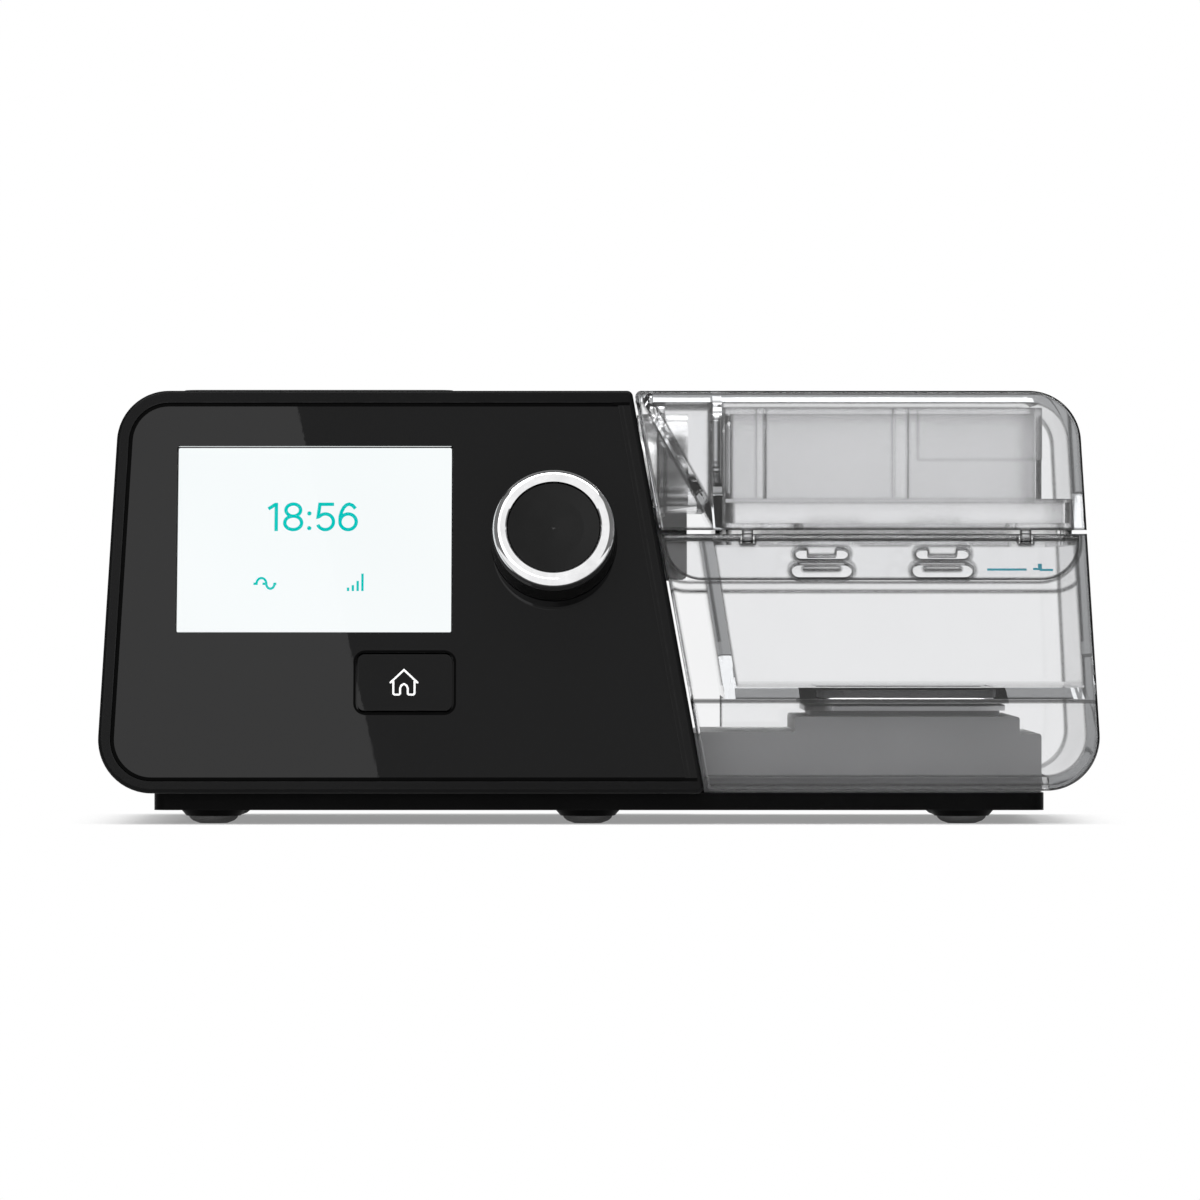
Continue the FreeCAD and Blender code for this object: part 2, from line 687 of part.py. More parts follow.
def feet():
    """Rubber feet: a plug in the base plate and a bevelled dome on the table."""
    neck = FOOT_RADIUS - FOOT_SHOULDER - FIT
    top = BASE_BOTTOM + FOOT_SOCKET - FIT
    profile = [(0, 0), (FOOT_FLAT, 0), (FOOT_RADIUS - 1.1, 0.35 * FOOT_COLLAR_LOW),
               (FOOT_RADIUS - 0.3, 0.7 * FOOT_COLLAR_LOW), (FOOT_RADIUS, FOOT_COLLAR_LOW),
               (neck, FOOT_COLLAR_LOW), (neck, top), (0, top)]
    wire = Part.makePolygon([Vector(radius, 0, z) for radius, z in profile + profile[:1]])
    foot = Part.Face(wire).revolve(Vector(0, 0, 0), Vector(0, 0, 1), 360)
    return Part.makeCompound([foot.translated(Vector(x, y, 0)) for x in FOOT_X for y in FOOT_Y])


# ---- front panel, display and controls, in face axes ----


def front_panel():
    plan = inset(MAIN_CORNERS, PANEL_INSET)
    plate = upright(plan, smaller(MAIN_RADII, PANEL_INSET), -FAR, FAR)
    plate = plate.common(face_slab(-PANEL_BACK, -PANEL_SINK))
    plate = plate.cut(face_prism(rectangle(SCREEN_X, SCREEN_V), 0.8, -FAR, FAR))
    plate = plate.cut(face_prism(rectangle(HOME_X, HOME_V), HOME_CORNER, -FAR, FAR))
    plate = plate.cut(face_disc(KNOB_X, KNOB_V, SHAFT_HOLE, -FAR, FAR))
    posts = []
    for x, v in POST_SPOTS:
        posts.append(face_disc(x, v, POST_RADIUS, BOARD_OUT, -PANEL_BACK + 0.5))
    return plate.fuse(posts).removeSplitter()


def display_lens():
    window = inset(rectangle(SCREEN_X, SCREEN_V), FIT)
    return face_prism(window, 0.6, -PANEL_SINK - LENS_THICK, -PANEL_SINK)


def display_module():
    window = rectangle(SCREEN_X, SCREEN_V)
    front = -PANEL_BACK - MODULE_GAP
    case = face_prism(inset(window, -MODULE_BORDER), 1.5, front - MODULE_DEPTH, front)
    glass = face_prism(inset(window, 2 * FIT), 0.6, front - 1, -PANEL_SINK - LENS_THICK - MODULE_GAP)
    lug_out = front - MODULE_DEPTH
    lugs = []
    for x in SCREEN_X:
        lugs.append(face_disc(x, SCREEN_V[0], POST_RADIUS, BOARD_OUT, lug_out))
        lugs.append(face_disc(x, SCREEN_V[1], POST_RADIUS, BOARD_OUT, lug_out))
    return join([case, glass] + lugs)


def main_board():
    low = BOARD_OUT - BOARD_THICK
    board = face_prism(rectangle(BOARD_X, BOARD_V), 3.0, low, BOARD_OUT)
    centre_x = sum(SCREEN_X) / 2
    chips = []
    for i, size in enumerate(CHIP_SIZES):
        plan = around(centre_x + CHIP_PITCH * (i - 1), CHIP_V, size, size)
        chips.append(face_prism(plan, 0.5, low - CHIP_TALL, low))
    plan = around(centre_x, BOARD_V[0] + HEADER_SIZE[1], *HEADER_SIZE)
    header = face_prism(plan, 0.5, low - HEADER_TALL, low)
    return join([board, header] + chips)


def rotary_encoder():
    low = BOARD_OUT
    case = face_prism(around(KNOB_X, KNOB_V, *ENCODER_SIZE), 0.6, low, ENCODER_FRONT)
    bush = face_disc(KNOB_X, KNOB_V, BUSH_RADIUS, ENCODER_FRONT - 1, -PANEL_BACK - LOOSE)
    solid = case.fuse(bush).removeSplitter()
    solid = solid.cut(face_disc(KNOB_X, KNOB_V, SHAFT_RADIUS + RUN, SHAFT_END - KNOB_TRAVEL - KNOB_GAP, FAR))
    return solid.cut(face_disc(KNOB_X, KNOB_V, PLUNGER_RADIUS + RUN, low - 1, FAR))


def encoder_plunger():
    """Small pin that the shaft pushes onto the push switch."""
    return face_disc(KNOB_X, KNOB_V, PLUNGER_RADIUS, BOARD_OUT + KNOB_TRAVEL + 0.02, SHAFT_END)


def spin(wire):
    """Solid of revolution about the knob's axis from a closed wire."""
    solid = Part.Face(wire).revolve(Vector(0, 0, 0), Vector(0, 0, 1), 360)
    solid.translate(Vector(KNOB_X, KNOB_V, 0))
    return on_face(solid)


def spun(profile):
    """Solid of revolution about the knob's axis from (radius, out) corners."""
    points = [Vector(radius, 0, out) for radius, out in profile]
    return spin(Part.makePolygon(points + [points[0]]))


def knob_shaft():
    top = KNOB_RING_LOW - 1.0
    shaft = face_disc(KNOB_X, KNOB_V, SHAFT_RADIUS, SHAFT_END, top)
    flat = block((KNOB_X + SHAFT_RADIUS * 0.5, KNOB_X + FAR), (KNOB_V - 5, KNOB_V + 5), (1.5, top + 1))
    return shaft.cut(on_face(flat))


def knob_skirt():
    low = -PANEL_SINK + KNOB_TRAVEL + KNOB_GAP
    wall = 1.6
    web = KNOB_RING_LOW - 2.4
    hub = 5.0
    bore = SHAFT_RADIUS + RUN
    top = KNOB_RING_LOW
    profile = [(KNOB_SKIRT, low), (KNOB_RING + 0.05, top), (bore, top), (bore, low + 0.8),
               (hub, low + 0.8), (hub, web), (KNOB_SKIRT - wall, web), (KNOB_SKIRT - wall, low)]
    return spun(profile)


def knob_ring():
    """Bright ring: a flat inner band, and a quarter round that rolls over to the side."""
    inner = KNOB_CAP + FIT
    round_tall = KNOB_OUT - KNOB_ROLL_LOW
    round_wide = KNOB_RING - KNOB_BAND
    corners = [(inner, KNOB_RING_LOW), (KNOB_RING, KNOB_RING_LOW), (KNOB_RING, KNOB_ROLL_LOW),
               (KNOB_BAND, KNOB_OUT), (inner + KNOB_BREAK, KNOB_OUT), (inner, KNOB_OUT - KNOB_BREAK)]
    points = [Vector(radius, 0, out) for radius, out in corners]
    diagonal = math.sqrt(0.5)
    middle = Vector(KNOB_BAND + round_wide * diagonal, 0, KNOB_ROLL_LOW + round_tall * diagonal)
    roll = Part.Arc(points[2], middle, points[3]).toShape()
    lines = [Part.makeLine(points[i], points[(i + 1) % 6]) for i in (0, 1, 3, 4, 5)]
    return spin(Part.Wire(lines[:2] + [roll] + lines[2:]))


def knob_cap():
    top = KNOB_OUT - 0.8
    profile = [(0, KNOB_RING_LOW), (KNOB_CAP, KNOB_RING_LOW), (KNOB_CAP, top - 0.3), (KNOB_CAP - 0.3, top),
               (8.0, top - 0.15), (0, top - 0.3)]
    return spun(profile)


def home_button():
    hole = rectangle(HOME_X, HOME_V)
    plan = inset(hole, HOME_GROOVE)
    back = -PANEL_BACK - LOOSE
    face = face_prism(plan, HOME_CORNER - HOME_GROOVE, back - 0.5, HOME_FACE)
    flange = face_prism(inset(hole, -1.0), HOME_CORNER, back - 1.0, back)
    centre_x = sum(HOME_X) / 2
    centre_v = sum(HOME_V) / 2
    stem = face_disc(centre_x, centre_v, HOME_STEM, HOME_SWITCH_TOP + HOME_TRAVEL + FIT, back)
    return join([face, flange, stem])


def home_switch():
    centre_x = sum(HOME_X) / 2
    centre_v = sum(HOME_V) / 2
    case = face_prism(around(centre_x, centre_v, 6.2, 6.2), 0.4, BOARD_OUT, HOME_SWITCH_TOP - 0.9)
    key = face_disc(centre_x, centre_v, 1.7, HOME_SWITCH_TOP - 0.9, HOME_SWITCH_TOP)
    return case.fuse(key).removeSplitter()


# ---- blower and air path ----


def scroll_outline(grow):
    """Volute in front view: four quarter arcs, then a straight exit to +X."""
    r = [radius + grow for radius in SCROLL_RADII]
    top = PORT_Z + EXIT_TALL / 2 + grow
    low = PORT_Z - EXIT_TALL / 2 - grow
    centre = Vector(FAN_X, FAN_Z, 0)
    at = [(1, 0), (0, -1), (-1, 0), (0, 1)]
    edges = []
    spots = [centre + Vector(at[i][0], at[i][1], 0) * r[i] for i in range(4)]
    spots[3] = Vector(FAN_X, top, 0)
    for i in range(3):
        start, end = spots[i], spots[i + 1]
        turn = math.radians(-45 - 90 * i)
        middle = centre + Vector(math.cos(turn), math.sin(turn), 0) * ((r[i] + r[i + 1]) / 2)
        edges.append(Part.Arc(start, middle, end).toShape())
    tongue = Vector(spots[0].x, low, 0)
    exit_low = Vector(EXIT_X, low, 0)
    exit_top = Vector(EXIT_X, top, 0)
    edges += [Part.makeLine(spots[3], exit_top), Part.makeLine(exit_top, exit_low),
              Part.makeLine(exit_low, tongue), Part.makeLine(tongue, spots[0])]
    return Part.Wire(Part.__sortEdges__(edges))


def scroll_block(grow, y0, y1):
    solid = Part.Face(scroll_outline(grow)).extrude(Vector(0, 0, y1 - y0))
    solid.Placement = Placement(Vector(0, y1, 0), Rotation(Vector(1, 0, 0), 90))
    return solid


def fan_middle():
    return (FAN_Y[0] + FAN_Y[1]) / 2


def exit_throat(y0, y1):
    """Square mouth of the volute."""
    return block((EXIT_X - 1, FAR), (y0, y1), (PORT_Z - EXIT_TALL / 2, PORT_Z + EXIT_TALL / 2))


def blower_case_front():
    """Front half of the volute; the motor hangs on it."""
    low, middle = FAN_Y[0], fan_middle()
    half = scroll_block(FAN_WALL, low, middle).cut(scroll_block(0, low + FAN_WALL, middle + 1))
    half = half.cut(exit_throat(low + FAN_WALL, middle + 1))
    return half.cut(along_y(MOTOR_NOSE + FIT, FAN_X, FAN_Z, low - 1, low + 3))


def blower_case_rear():
    """Rear half with the round air eye."""
    middle, high = fan_middle(), FAN_Y[1]
    half = scroll_block(FAN_WALL, middle, high).cut(scroll_block(0, middle - 1, high - FAN_WALL))
    half = half.cut(exit_throat(middle - 1, high - FAN_WALL))
    collar = along_y(EYE_RADIUS + FAN_WALL, FAN_X, FAN_Z, high - 1, high + EYE_COLLAR)
    half = half.fuse(collar).removeSplitter()
    return half.cut(along_y(EYE_RADIUS, FAN_X, FAN_Z, high - 4, high + 4))


def blower_motor():
    front = FAN_Y[0] - MOTOR_LONG
    can = along_y(MOTOR_RADIUS, FAN_X, FAN_Z, front, FAN_Y[0])
    can = can.makeFillet(2.0, rim_edges(can, "y", front))
    nose = along_y(MOTOR_NOSE, FAN_X, FAN_Z, FAN_Y[0] - 1, FAN_Y[0] + FAN_WALL)
    return can.fuse(nose).removeSplitter().cut(along_y(AXLE_RADIUS + RUN, FAN_X, FAN_Z, front + 3, FAR))


def impeller():
    """Backplate with curved blades on the motor shaft."""
    back, front = WHEEL_Y
    plate = along_y(WHEEL_RADIUS, FAN_X, FAN_Z, back, back + WHEEL_PLATE)
    hub = along_y(WHEEL_HUB, FAN_X, FAN_Z, back - 2, back + 7)
    axle = along_y(AXLE_RADIUS, FAN_X, FAN_Z, FAN_Y[0] - MOTOR_LONG + 3.5, back)
    wheel = join([plate, hub, axle])
    bend = WHEEL_RADIUS * 0.55
    stand = Placement(Vector(FAN_X, back + WHEEL_PLATE / 2, FAN_Z), Rotation(Vector(1, 0, 0), -90))
    blades = []
    for i in range(BLADE_COUNT):
        arc_x = bend * 0.72
        ring = tube(bend, bend - BLADE_THICK, (arc_x, 0, 0), (arc_x, 0, front - back - WHEEL_PLATE / 2))
        span = Part.makeBox(FAR, FAR, FAR, Vector(-FAR / 2, 0, -1))
        zone = tube(WHEEL_RADIUS - 0.3, WHEEL_RADIUS * 0.55, (0, 0, -1), (0, 0, front - back + 1))
        blade = ring.common(span).common(zone)
        blade.rotate(Vector(0, 0, 0), Vector(0, 0, 1), 360 / BLADE_COUNT * i)
        blade.Placement = stand.multiply(blade.Placement)
        blades.append(blade)
    return wheel.fuse(blades).removeSplitter()


def cradle_height():
    return FAN_Z - SCROLL_RADII[1] - FAN_WALL - PAD_TALL


def blower_cradle():
    """Plastic saddle under the blower, standing on the housing floor."""
    top = cradle_height()
    floor = BODY_BOTTOM + WALL
    ends = (FAN_X - CRADLE_HALF, FAN_X + CRADLE_HALF)
    plan = rectangle(ends, (FAN_Y[0] - CRADLE_EDGE, FAN_Y[1] + CRADLE_EDGE / 2))
    deck = level(plan, CRADLE_EDGE, top - CRADLE_PLATE, top)
    legs = []
    for x in (ends[0] + CRADLE_EDGE, ends[1] - CRADLE_EDGE - CRADLE_LEG):
        legs.append(block((x, x + CRADLE_LEG), FAN_Y, (floor, top - CRADLE_PLATE / 2)))
    return join([deck] + legs)


def blower_pads():
    """Soft rubber pads that carry the blower on its cradle."""
    top = cradle_height()
    pads = []
    for x in (FAN_X - PAD_SPREAD, FAN_X + PAD_SPREAD):
        cap = rod(PAD_RADIUS, (x, fan_middle(), top), (x, fan_middle(), FAN_Z))
        pads.append(cap.cut(scroll_block(FAN_WALL + 0.02, FAN_Y[0] - 1, FAN_Y[1] + 1)).Solids[0])
    return Part.makeCompound(pads)


def seam_side(offset, left=True):
    """Everything on one side of the slanted joint plane moved right by offset."""
    top, low = FAR, -FAR
    edge = [(seam_x(low) + offset, low), (seam_x(top) + offset, top)]
    reach = -FAR if left else FAR
    return upright([edge[0], edge[1], (reach, top), (reach, low)], 0, -FAR, FAR)


def blower_duct():
    """Rubber transition from the square volute exit to the round supply port."""
    end_x = seam_x(PORT_Z)
    tall = EXIT_TALL / 2
    wide = (FAN_Y[1] - FAN_Y[0]) / 2 - FAN_WALL

    def square(x, extra):
        points = around(SUPPLY_Y, PORT_Z, 2 * (wide + extra), 2 * (tall + extra))
        wire = outline(points, 2.0 + extra)
        wire.Placement = Placement(Vector(x, 0, 0), Rotation(Vector(1, 1, 1), 120))
        return wire

    def ring(x, extra):
        circle = Part.Circle(Vector(x, SUPPLY_Y, PORT_Z), Vector(1, 0, 0), PORT_RADIUS + extra)
        return Part.Wire(circle.toShape())

    outer = Part.makeLoft([square(EXIT_X, DUCT_WALL), ring(end_x - 8, DUCT_WALL)], True)
    inner = Part.makeLoft([square(EXIT_X, 0), ring(end_x - 8, 0)], True)
    mouth = PORT_RADIUS + DUCT_WALL
    spout = tube(mouth, PORT_RADIUS, (end_x - 8, SUPPLY_Y, PORT_Z), (end_x + 10, SUPPLY_Y, PORT_Z))
    inner_wall = seam_side(-WALL / math.cos(math.radians(SEAM_LEAN)))
    return outer.cut(inner).fuse(spout.common(inner_wall)).removeSplitter()


def return_duct():
    """Elbow from the return port to the outlet spigot."""
    turn = Vector(SPIGOT_X + ELBOW_RADIUS, RETURN_Y, PORT_Z)
    pivot = Vector(SPIGOT_X + ELBOW_RADIUS, RETURN_Y + ELBOW_RADIUS, PORT_Z)

    def pipe(size):
        section = Part.Face(Part.Wire(Part.Circle(turn, Vector(1, 0, 0), size).toShape()))
        elbow = section.revolve(pivot, Vector(0, 0, -1), 90)
        arm = along_x(size, RETURN_Y, PORT_Z, turn.x, seam_x(PORT_Z) + 10)
        leg = along_y(size, SPIGOT_X, PORT_Z, pivot.y, HOUSING_BACK - SPIGOT_INSIDE)
        return join([elbow, arm, leg])

    solid = pipe(SPIGOT_BORE + DUCT_WALL).cut(pipe(SPIGOT_BORE))
    flange = tube(PORT_RADIUS + DUCT_WALL, SPIGOT_BORE, (seam_x(PORT_Z) - 6, RETURN_Y, PORT_Z),
                  (seam_x(PORT_Z) + 10, RETURN_Y, PORT_Z))
    solid = solid.fuse(flange).removeSplitter()
    return solid.common(seam_side(-WALL / math.cos(math.radians(SEAM_LEAN))))


def outlet_spigot():
    """Outlet tube with a collar inside the rear cover."""
    inner = HOUSING_BACK - SPIGOT_INSIDE
    collar_end = REAR_Y - COVER_WALL
    body = along_y(SPIGOT_RADIUS, SPIGOT_X, PORT_Z, inner, REAR_Y + SPIGOT_OUT)
    neck = along_y(SPIGOT_RADIUS + SPIGOT_STEP, SPIGOT_X, PORT_Z, inner, REAR_Y + SPIGOT_SHOULDER)
    collar = along_y(SPIGOT_RADIUS + SPIGOT_COLLAR, SPIGOT_X, PORT_Z, inner, collar_end)
    body = join([body, neck, collar])
    body = body.makeFillet(0.6, rim_edges(body, "y", REAR_Y + SPIGOT_OUT))
    return body.cut(along_y(SPIGOT_BORE, SPIGOT_X, PORT_Z, 0, FAR))


def silencer_foam():
    """Foam block with an air channel from the filter to the blower eye."""
    foam = block(FOAM_X, FOAM_Y, FOAM_Z)
    half = FOAM_CHANNEL / 2
    inner = (FOAM_Y[0] + 5, FOAM_Y[1] - 5)
    mouth = (inner[1] - 1, FOAM_Y[1] + 1)
    channel = block((FILTER_X - half, FAN_X + half / 2), inner, (FILTER_Z - half, FAN_Z + half))
    inlet = block((FILTER_X - half, FILTER_X + half), mouth, (FILTER_Z - half, FILTER_Z + half))
    eye = along_y(EYE_RADIUS, FAN_X, FAN_Z, FOAM_Y[0] - 1, inner[0] + 1)
    return foam.cut(channel.fuse([inlet, eye]))


# ---- filter, sockets and card ----


def air_filter():
    width, height = FILTER_SIZE
    back = REAR_Y - FILTER_DEPTH
    return upright(around(FILTER_X, FILTER_Z, width - 1.0, height - 1.0), 1.5, back, back + FILTER_THICK)


def filter_cover():
    """Louvred door that pulls straight off the back."""
    width, height = FILTER_SIZE
    inner = REAR_Y - FILTER_DEPTH + FILTER_THICK + 0.3
    face = REAR_Y - 0.2
    plan = inset(around(FILTER_X, FILTER_Z, width, height), LOOSE)
    door = upright(plan, 1.7, inner, face)
    door = door.cut(upright(inset(plan, 1.6), 0.4, inner - 1, face - FILTER_COVER_THICK))
    pitch = (height - 2 * LOUVRE_MARGIN) / LOUVRE_COUNT
    half = width / 2 - 7.0
    for i in range(LOUVRE_COUNT):
        z = FILTER_Z + (i - (LOUVRE_COUNT - 1) / 2) * pitch
        lean = [(face + 1, z - LOUVRE_TALL), (face + 1, z), (face - 4, z + LOUVRE_TALL), (face - 4, z)]
        slot = sideways(lean, 0, FILTER_X - half, FILTER_X + half)
        door = door.cut(slot)
    grip_x = FILTER_X + width / 2 + COVER_THUMB / 2
    return door.cut(along_y(COVER_THUMB, grip_x, FILTER_Z, face - 1.2, FAR))


def dc_inlet():
    """Power socket: a block behind the rear cover with a centre pin."""
    width, height = INLET_SIZE
    front = REAR_Y - INLET_DEEP
    inside = REAR_Y - COVER_WALL
    body = upright(around(INLET_X, INLET_Z, width, height), 1.3, front, REAR_Y - 2 * FIT)
    rim = inset(around(INLET_X, INLET_Z, width, height), -INLET_RIM)
    flange = upright(rim, 1.5, inside - INLET_RIM, inside)
    body = body.fuse(flange).removeSplitter()
    body = body.cut(along_y(INLET_BARREL, INLET_X, INLET_Z, front + INLET_RIM, FAR))
    pin = along_y(PIN_RADIUS, INLET_X, INLET_Z, front + INLET_RIM / 2, inside)
    return body.fuse(pin).removeSplitter()


def card_reader():
    """Metal cage that guides the memory card, on a bracket from the cover."""
    width, height = CARD_SIZE
    start = REAR_Y - COVER_WALL - CARD_GUIDE_LONG
    end = REAR_Y - COVER_WALL
    wall = 0.6
    gap = 0.3
    outer = around(CARD_X, CARD_Z, width + 2 * (gap + wall), height + 2 * (gap + wall))
    inner = around(CARD_X, CARD_Z, width + 2 * gap, height + 2 * gap)
    cage = upright(outer, 0, start, end).cut(upright(inner, 0, start + 1, end + 1))
    return cage


def memory_card():
    width, height = CARD_SIZE
    end = REAR_Y + CARD_OUT
    card = upright(around(CARD_X, CARD_Z, width, height), 0.3, end - CARD_LONG, end)
    cut = 4.0
    corner = level([(CARD_X + width / 2 - cut, end - CARD_LONG), (CARD_X + width / 2 + 1, end - CARD_LONG),
                    (CARD_X + width / 2 + 1, end - CARD_LONG + cut)], 0, 0, FAR)
    return card.cut(corner)


# ---- key that guides the chamber, and the heater under it ----


def dock_key():
    low, high = KEY_Z
    points = [(seam_x(low), low), (KEY_RIGHT, low), (KEY_RIGHT, high), (seam_x(high), high)]
    return upright(points, [0, 1.5, 1.5, 0], *KEY_Y)


def deck_corners(low):
    """Stepped front outline of the heater deck."""
    left, right = DECK_STEP_X
    return [(seam_x(low), low), (DECK_RIGHT, low), (DECK_RIGHT, DECK_RIGHT_TOP), (right, DECK_RIGHT_TOP),
            (right, DECK_TOP), (left, DECK_TOP), (left, DECK_LEFT_TOP),
            (seam_x(DECK_LEFT_TOP), DECK_LEFT_TOP)]


def hot_middle():
    return sum(HOT_X) / 2, sum(HOT_Y) / 2


def heater_deck():
    corners = deck_corners(BODY_BOTTOM)
    body = upright(corners, [0, 0.8, 0.8, 0.4, 0.8, 0.8, 0.4, 0], *DECK_Y)
    hollow = inset(corners, [0.0] + [DECK_WALL] * 7)
    inner = (DECK_Y[0] + DECK_WALL, DECK_Y[1] - DECK_WALL)
    body = body.cut(upright(hollow, [0, 0.4, 0.4, 0, 0.4, 0.4, 0, 0], *inner))
    x, y = hot_middle()
    return body.cut(rod(HOT_STEM + LOOSE, (x, y, DECK_TOP - 6), (x, y, FAR)))


def heater_plate():
    x, y = hot_middle()
    plate = level(rectangle(HOT_X, HOT_Y), HOT_CORNER, HOT_TOP - HOT_THICK, HOT_TOP)
    plate = plate.makeFillet(0.5, rim_edges(plate, "z", HOT_TOP))
    return plate.fuse(rod(HOT_STEM, (x, y, HOT_STEM_LOW), (x, y, HOT_TOP - HOT_THICK))).removeSplitter()


def heater_skirt():
    """Soft ring between deck and plate that keeps spilt water out."""
    plan = inset(rectangle(HOT_X, HOT_Y), 1.5)
    top = HOT_TOP - HOT_THICK - 0.03
    ring = level(plan, HOT_CORNER - 1.5, DECK_TOP + 0.03, top)
    return ring.cut(level(inset(plan, 3.0), HOT_CORNER - 4.5, 0, FAR))


def heater_spring():
    """Arched leaf spring between the base and the plate's stem."""
    x, y = hot_middle()
    low = BODY_BOTTOM + 0.05
    high = HOT_STEM_LOW - 0.1
    half, thick, wide = SPRING_SIZE

    def arch(rise):
        ends = [Vector(-half, y - wide / 2, low + rise), Vector(half, y - wide / 2, low + rise)]
        crown = Vector(0, y - wide / 2, high - thick + rise)
        return ends, Part.Arc(ends[0], crown, ends[1]).toShape()

    (low_ends, low_arc), (top_ends, top_arc) = arch(0), arch(thick)
    wire = Part.Wire([low_arc, Part.makeLine(low_ends[1], top_ends[1]), top_arc,
                      Part.makeLine(top_ends[0], low_ends[0])])
    strip = Part.Face(wire).extrude(Vector(0, wide, 0))
    strip.translate(Vector(x, 0, 0))
    return strip


# ---- water chamber: tub ----

CHAMBER_CORNERS = [
    (seam_x(TUB_BOTTOM) + SEAM_GAP, TUB_BOTTOM),
    (half_width(TUB_BOTTOM), TUB_BOTTOM),
    (half_width(BODY_TOP), BODY_TOP),
    (seam_x(BODY_TOP) + SEAM_GAP, BODY_TOP),
]
CHAMBER_RADII = [SEAM_CORNER, BOTTOM_CORNER, TOP_CORNER, SEAM_CORNER]


def chamber_block(low, high):
    """Outer form of the chamber between two heights."""
    block_all = behind_face(CHAMBER_CORNERS, CHAMBER_RADII, CHAMBER_BACK)
    rounded = round_front(block_all, RIM_ROUND)
    return rounded.common(block((-FAR, FAR), (-FAR, FAR), (low, high)))


def chamber_core():
    """Space inside the outer walls, open towards the machine."""
    core = inset(CHAMBER_CORNERS, [CHAMBER_WALL, CHAMBER_WALL, CHAMBER_WALL, -FAR / 8])
    inner = [0.4, BOTTOM_CORNER - CHAMBER_WALL, TOP_CORNER - CHAMBER_WALL, 0.4]
    return upright(core, inner, -FAR, FAR)


def behind(points, radii):
    """Inner wall of the chamber that runs from the front wall to the back."""
    return upright(points, radii, FRONT_Y - 10, CHAMBER_BACK).cut(face_slab(-CLEAR_WALL / 2, FAR))


def flap_corners():
    slack = SEAM_GAP + FLAP_GAP
    return [(seam_x(FLAP_LOW) + slack, FLAP_LOW), (FLAP_RIGHT, FLAP_LOW), (FLAP_RIGHT, PIVOT_Z),
            (seam_x(PIVOT_Z) + slack, PIVOT_Z)]


def knuckle_spans(first):
    """X limits of every second hinge knuckle."""
    spans = []
    for i in range(first, 5, 2):
        start = HINGE_START + HINGE_PITCH * i
        spans.append((start + KNUCKLE_GAP / 2, start + HINGE_PITCH - KNUCKLE_GAP / 2))
    return spans


def knuckles(first, web_z):
    solids = []
    for x0, x1 in knuckle_spans(first):
        solids.append(along_x(HINGE_KNUCKLE, HINGE_Y, HINGE_Z, x0, x1))
        solids.append(block((x0, x1), (CHAMBER_BACK - 1, HINGE_Y), web_z))
    return solids


def hinge_bore():
    return along_x(HINGE_PIN + RUN, HINGE_Y, HINGE_Z, 0, FAR)


def metal_plan():
    """Plan of the metal plate under the tub, a little larger than the heater plate."""
    return inset(rectangle(HOT_X, HOT_Y), -1.0)


def tub_left_wall():
    low, high = TUB_FLOOR[0], SPLIT_Z
    return behind([(TUB_LEFT_LOW, low), (TUB_LEFT_LOW + TUB_LEFT_THICK, low),
                   (TUB_LEFT_TOP + TUB_LEFT_THICK, high), (TUB_LEFT_TOP, high)], 0)


def tub_shell():
    outer = chamber_block(TUB_BOTTOM - 1, SPLIT_Z)
    front = outer.common(face_slab(-CLEAR_WALL, FAR))
    rim = outer.cut(chamber_core())
    lip = rim.common(block((-FAR, FAR), (-FAR, SKIRT_LIP_Y), (-FAR, FAR)))
    side = rim.common(block((SIDE_LIP_X, FAR), (-FAR, FAR), (-FAR, FAR)))
    floor = outer.common(behind(rectangle((TUB_LEFT_LOW, FAR), TUB_FLOOR), 0))
    back = outer.common(upright([(TUB_LEFT_LOW, SKIRT_BACK_LOW), (FAR, SKIRT_BACK_LOW), (FAR, SPLIT_Z),
                                 (TUB_LEFT_TOP, SPLIT_Z), (TUB_LEFT_LOW, TUB_FLOOR[0])], 0,
                                CHAMBER_BACK - CLEAR_WALL, CHAMBER_BACK))
    grow = [-FLAP_GAP - CLEAR_WALL, -FLAP_GAP - CLEAR_WALL, -5.0, -5.0]
    corner = [FLAP_CORNER, FLAP_CORNER, 0, 0]
    pocket_wall = outer.common(upright(inset(flap_corners(), grow), corner, -FAR, FAR))
    pocket_wall = pocket_wall.common(face_slab(-FLAP_POCKET - CLEAR_WALL, -FLAP_POCKET))
    body = join([front, lip, side, floor, back, tub_left_wall(), pocket_wall])
    recess = inset(flap_corners(), [-FLAP_GAP, -FLAP_GAP, -5.0, -5.0])
    radii = [FLAP_CORNER + FLAP_GAP, FLAP_CORNER + FLAP_GAP, 0, 0]
    body = body.cut(upright(recess, radii, -FAR, FAR).common(face_slab(-FLAP_POCKET, FAR)))
    body = body.cut(level(inset(metal_plan(), METAL_LIP), HOT_CORNER - METAL_LIP, 0, FAR).common(
        block((-FAR, FAR), (-FAR, FAR), (TUB_FLOOR[0] - 1, TUB_FLOOR[1] + 1))))
    catches = []
    for x in WINDOW_X:
        v = face_v(WINDOW_Z) + WINDOW_SIZE[1] / 2 - 0.8
        plan = around(x, v, HOOK_WIDE, 1.0)
        catches.append(face_prism(plan, 0.3, -FLAP_POCKET - 0.5, -HOOK_OUT))
    body = body.fuse(catches + knuckles(0, (HINGE_Z - HINGE_KNUCKLE, SPLIT_Z))).removeSplitter()
    return body.cut(hinge_bore())


def tub_heat_plate():
    """Metal plate that carries the heat into the water."""
    low = HOT_TOP + METAL_GAP
    return level(metal_plan(), HOT_CORNER, low, low + METAL_THICK)


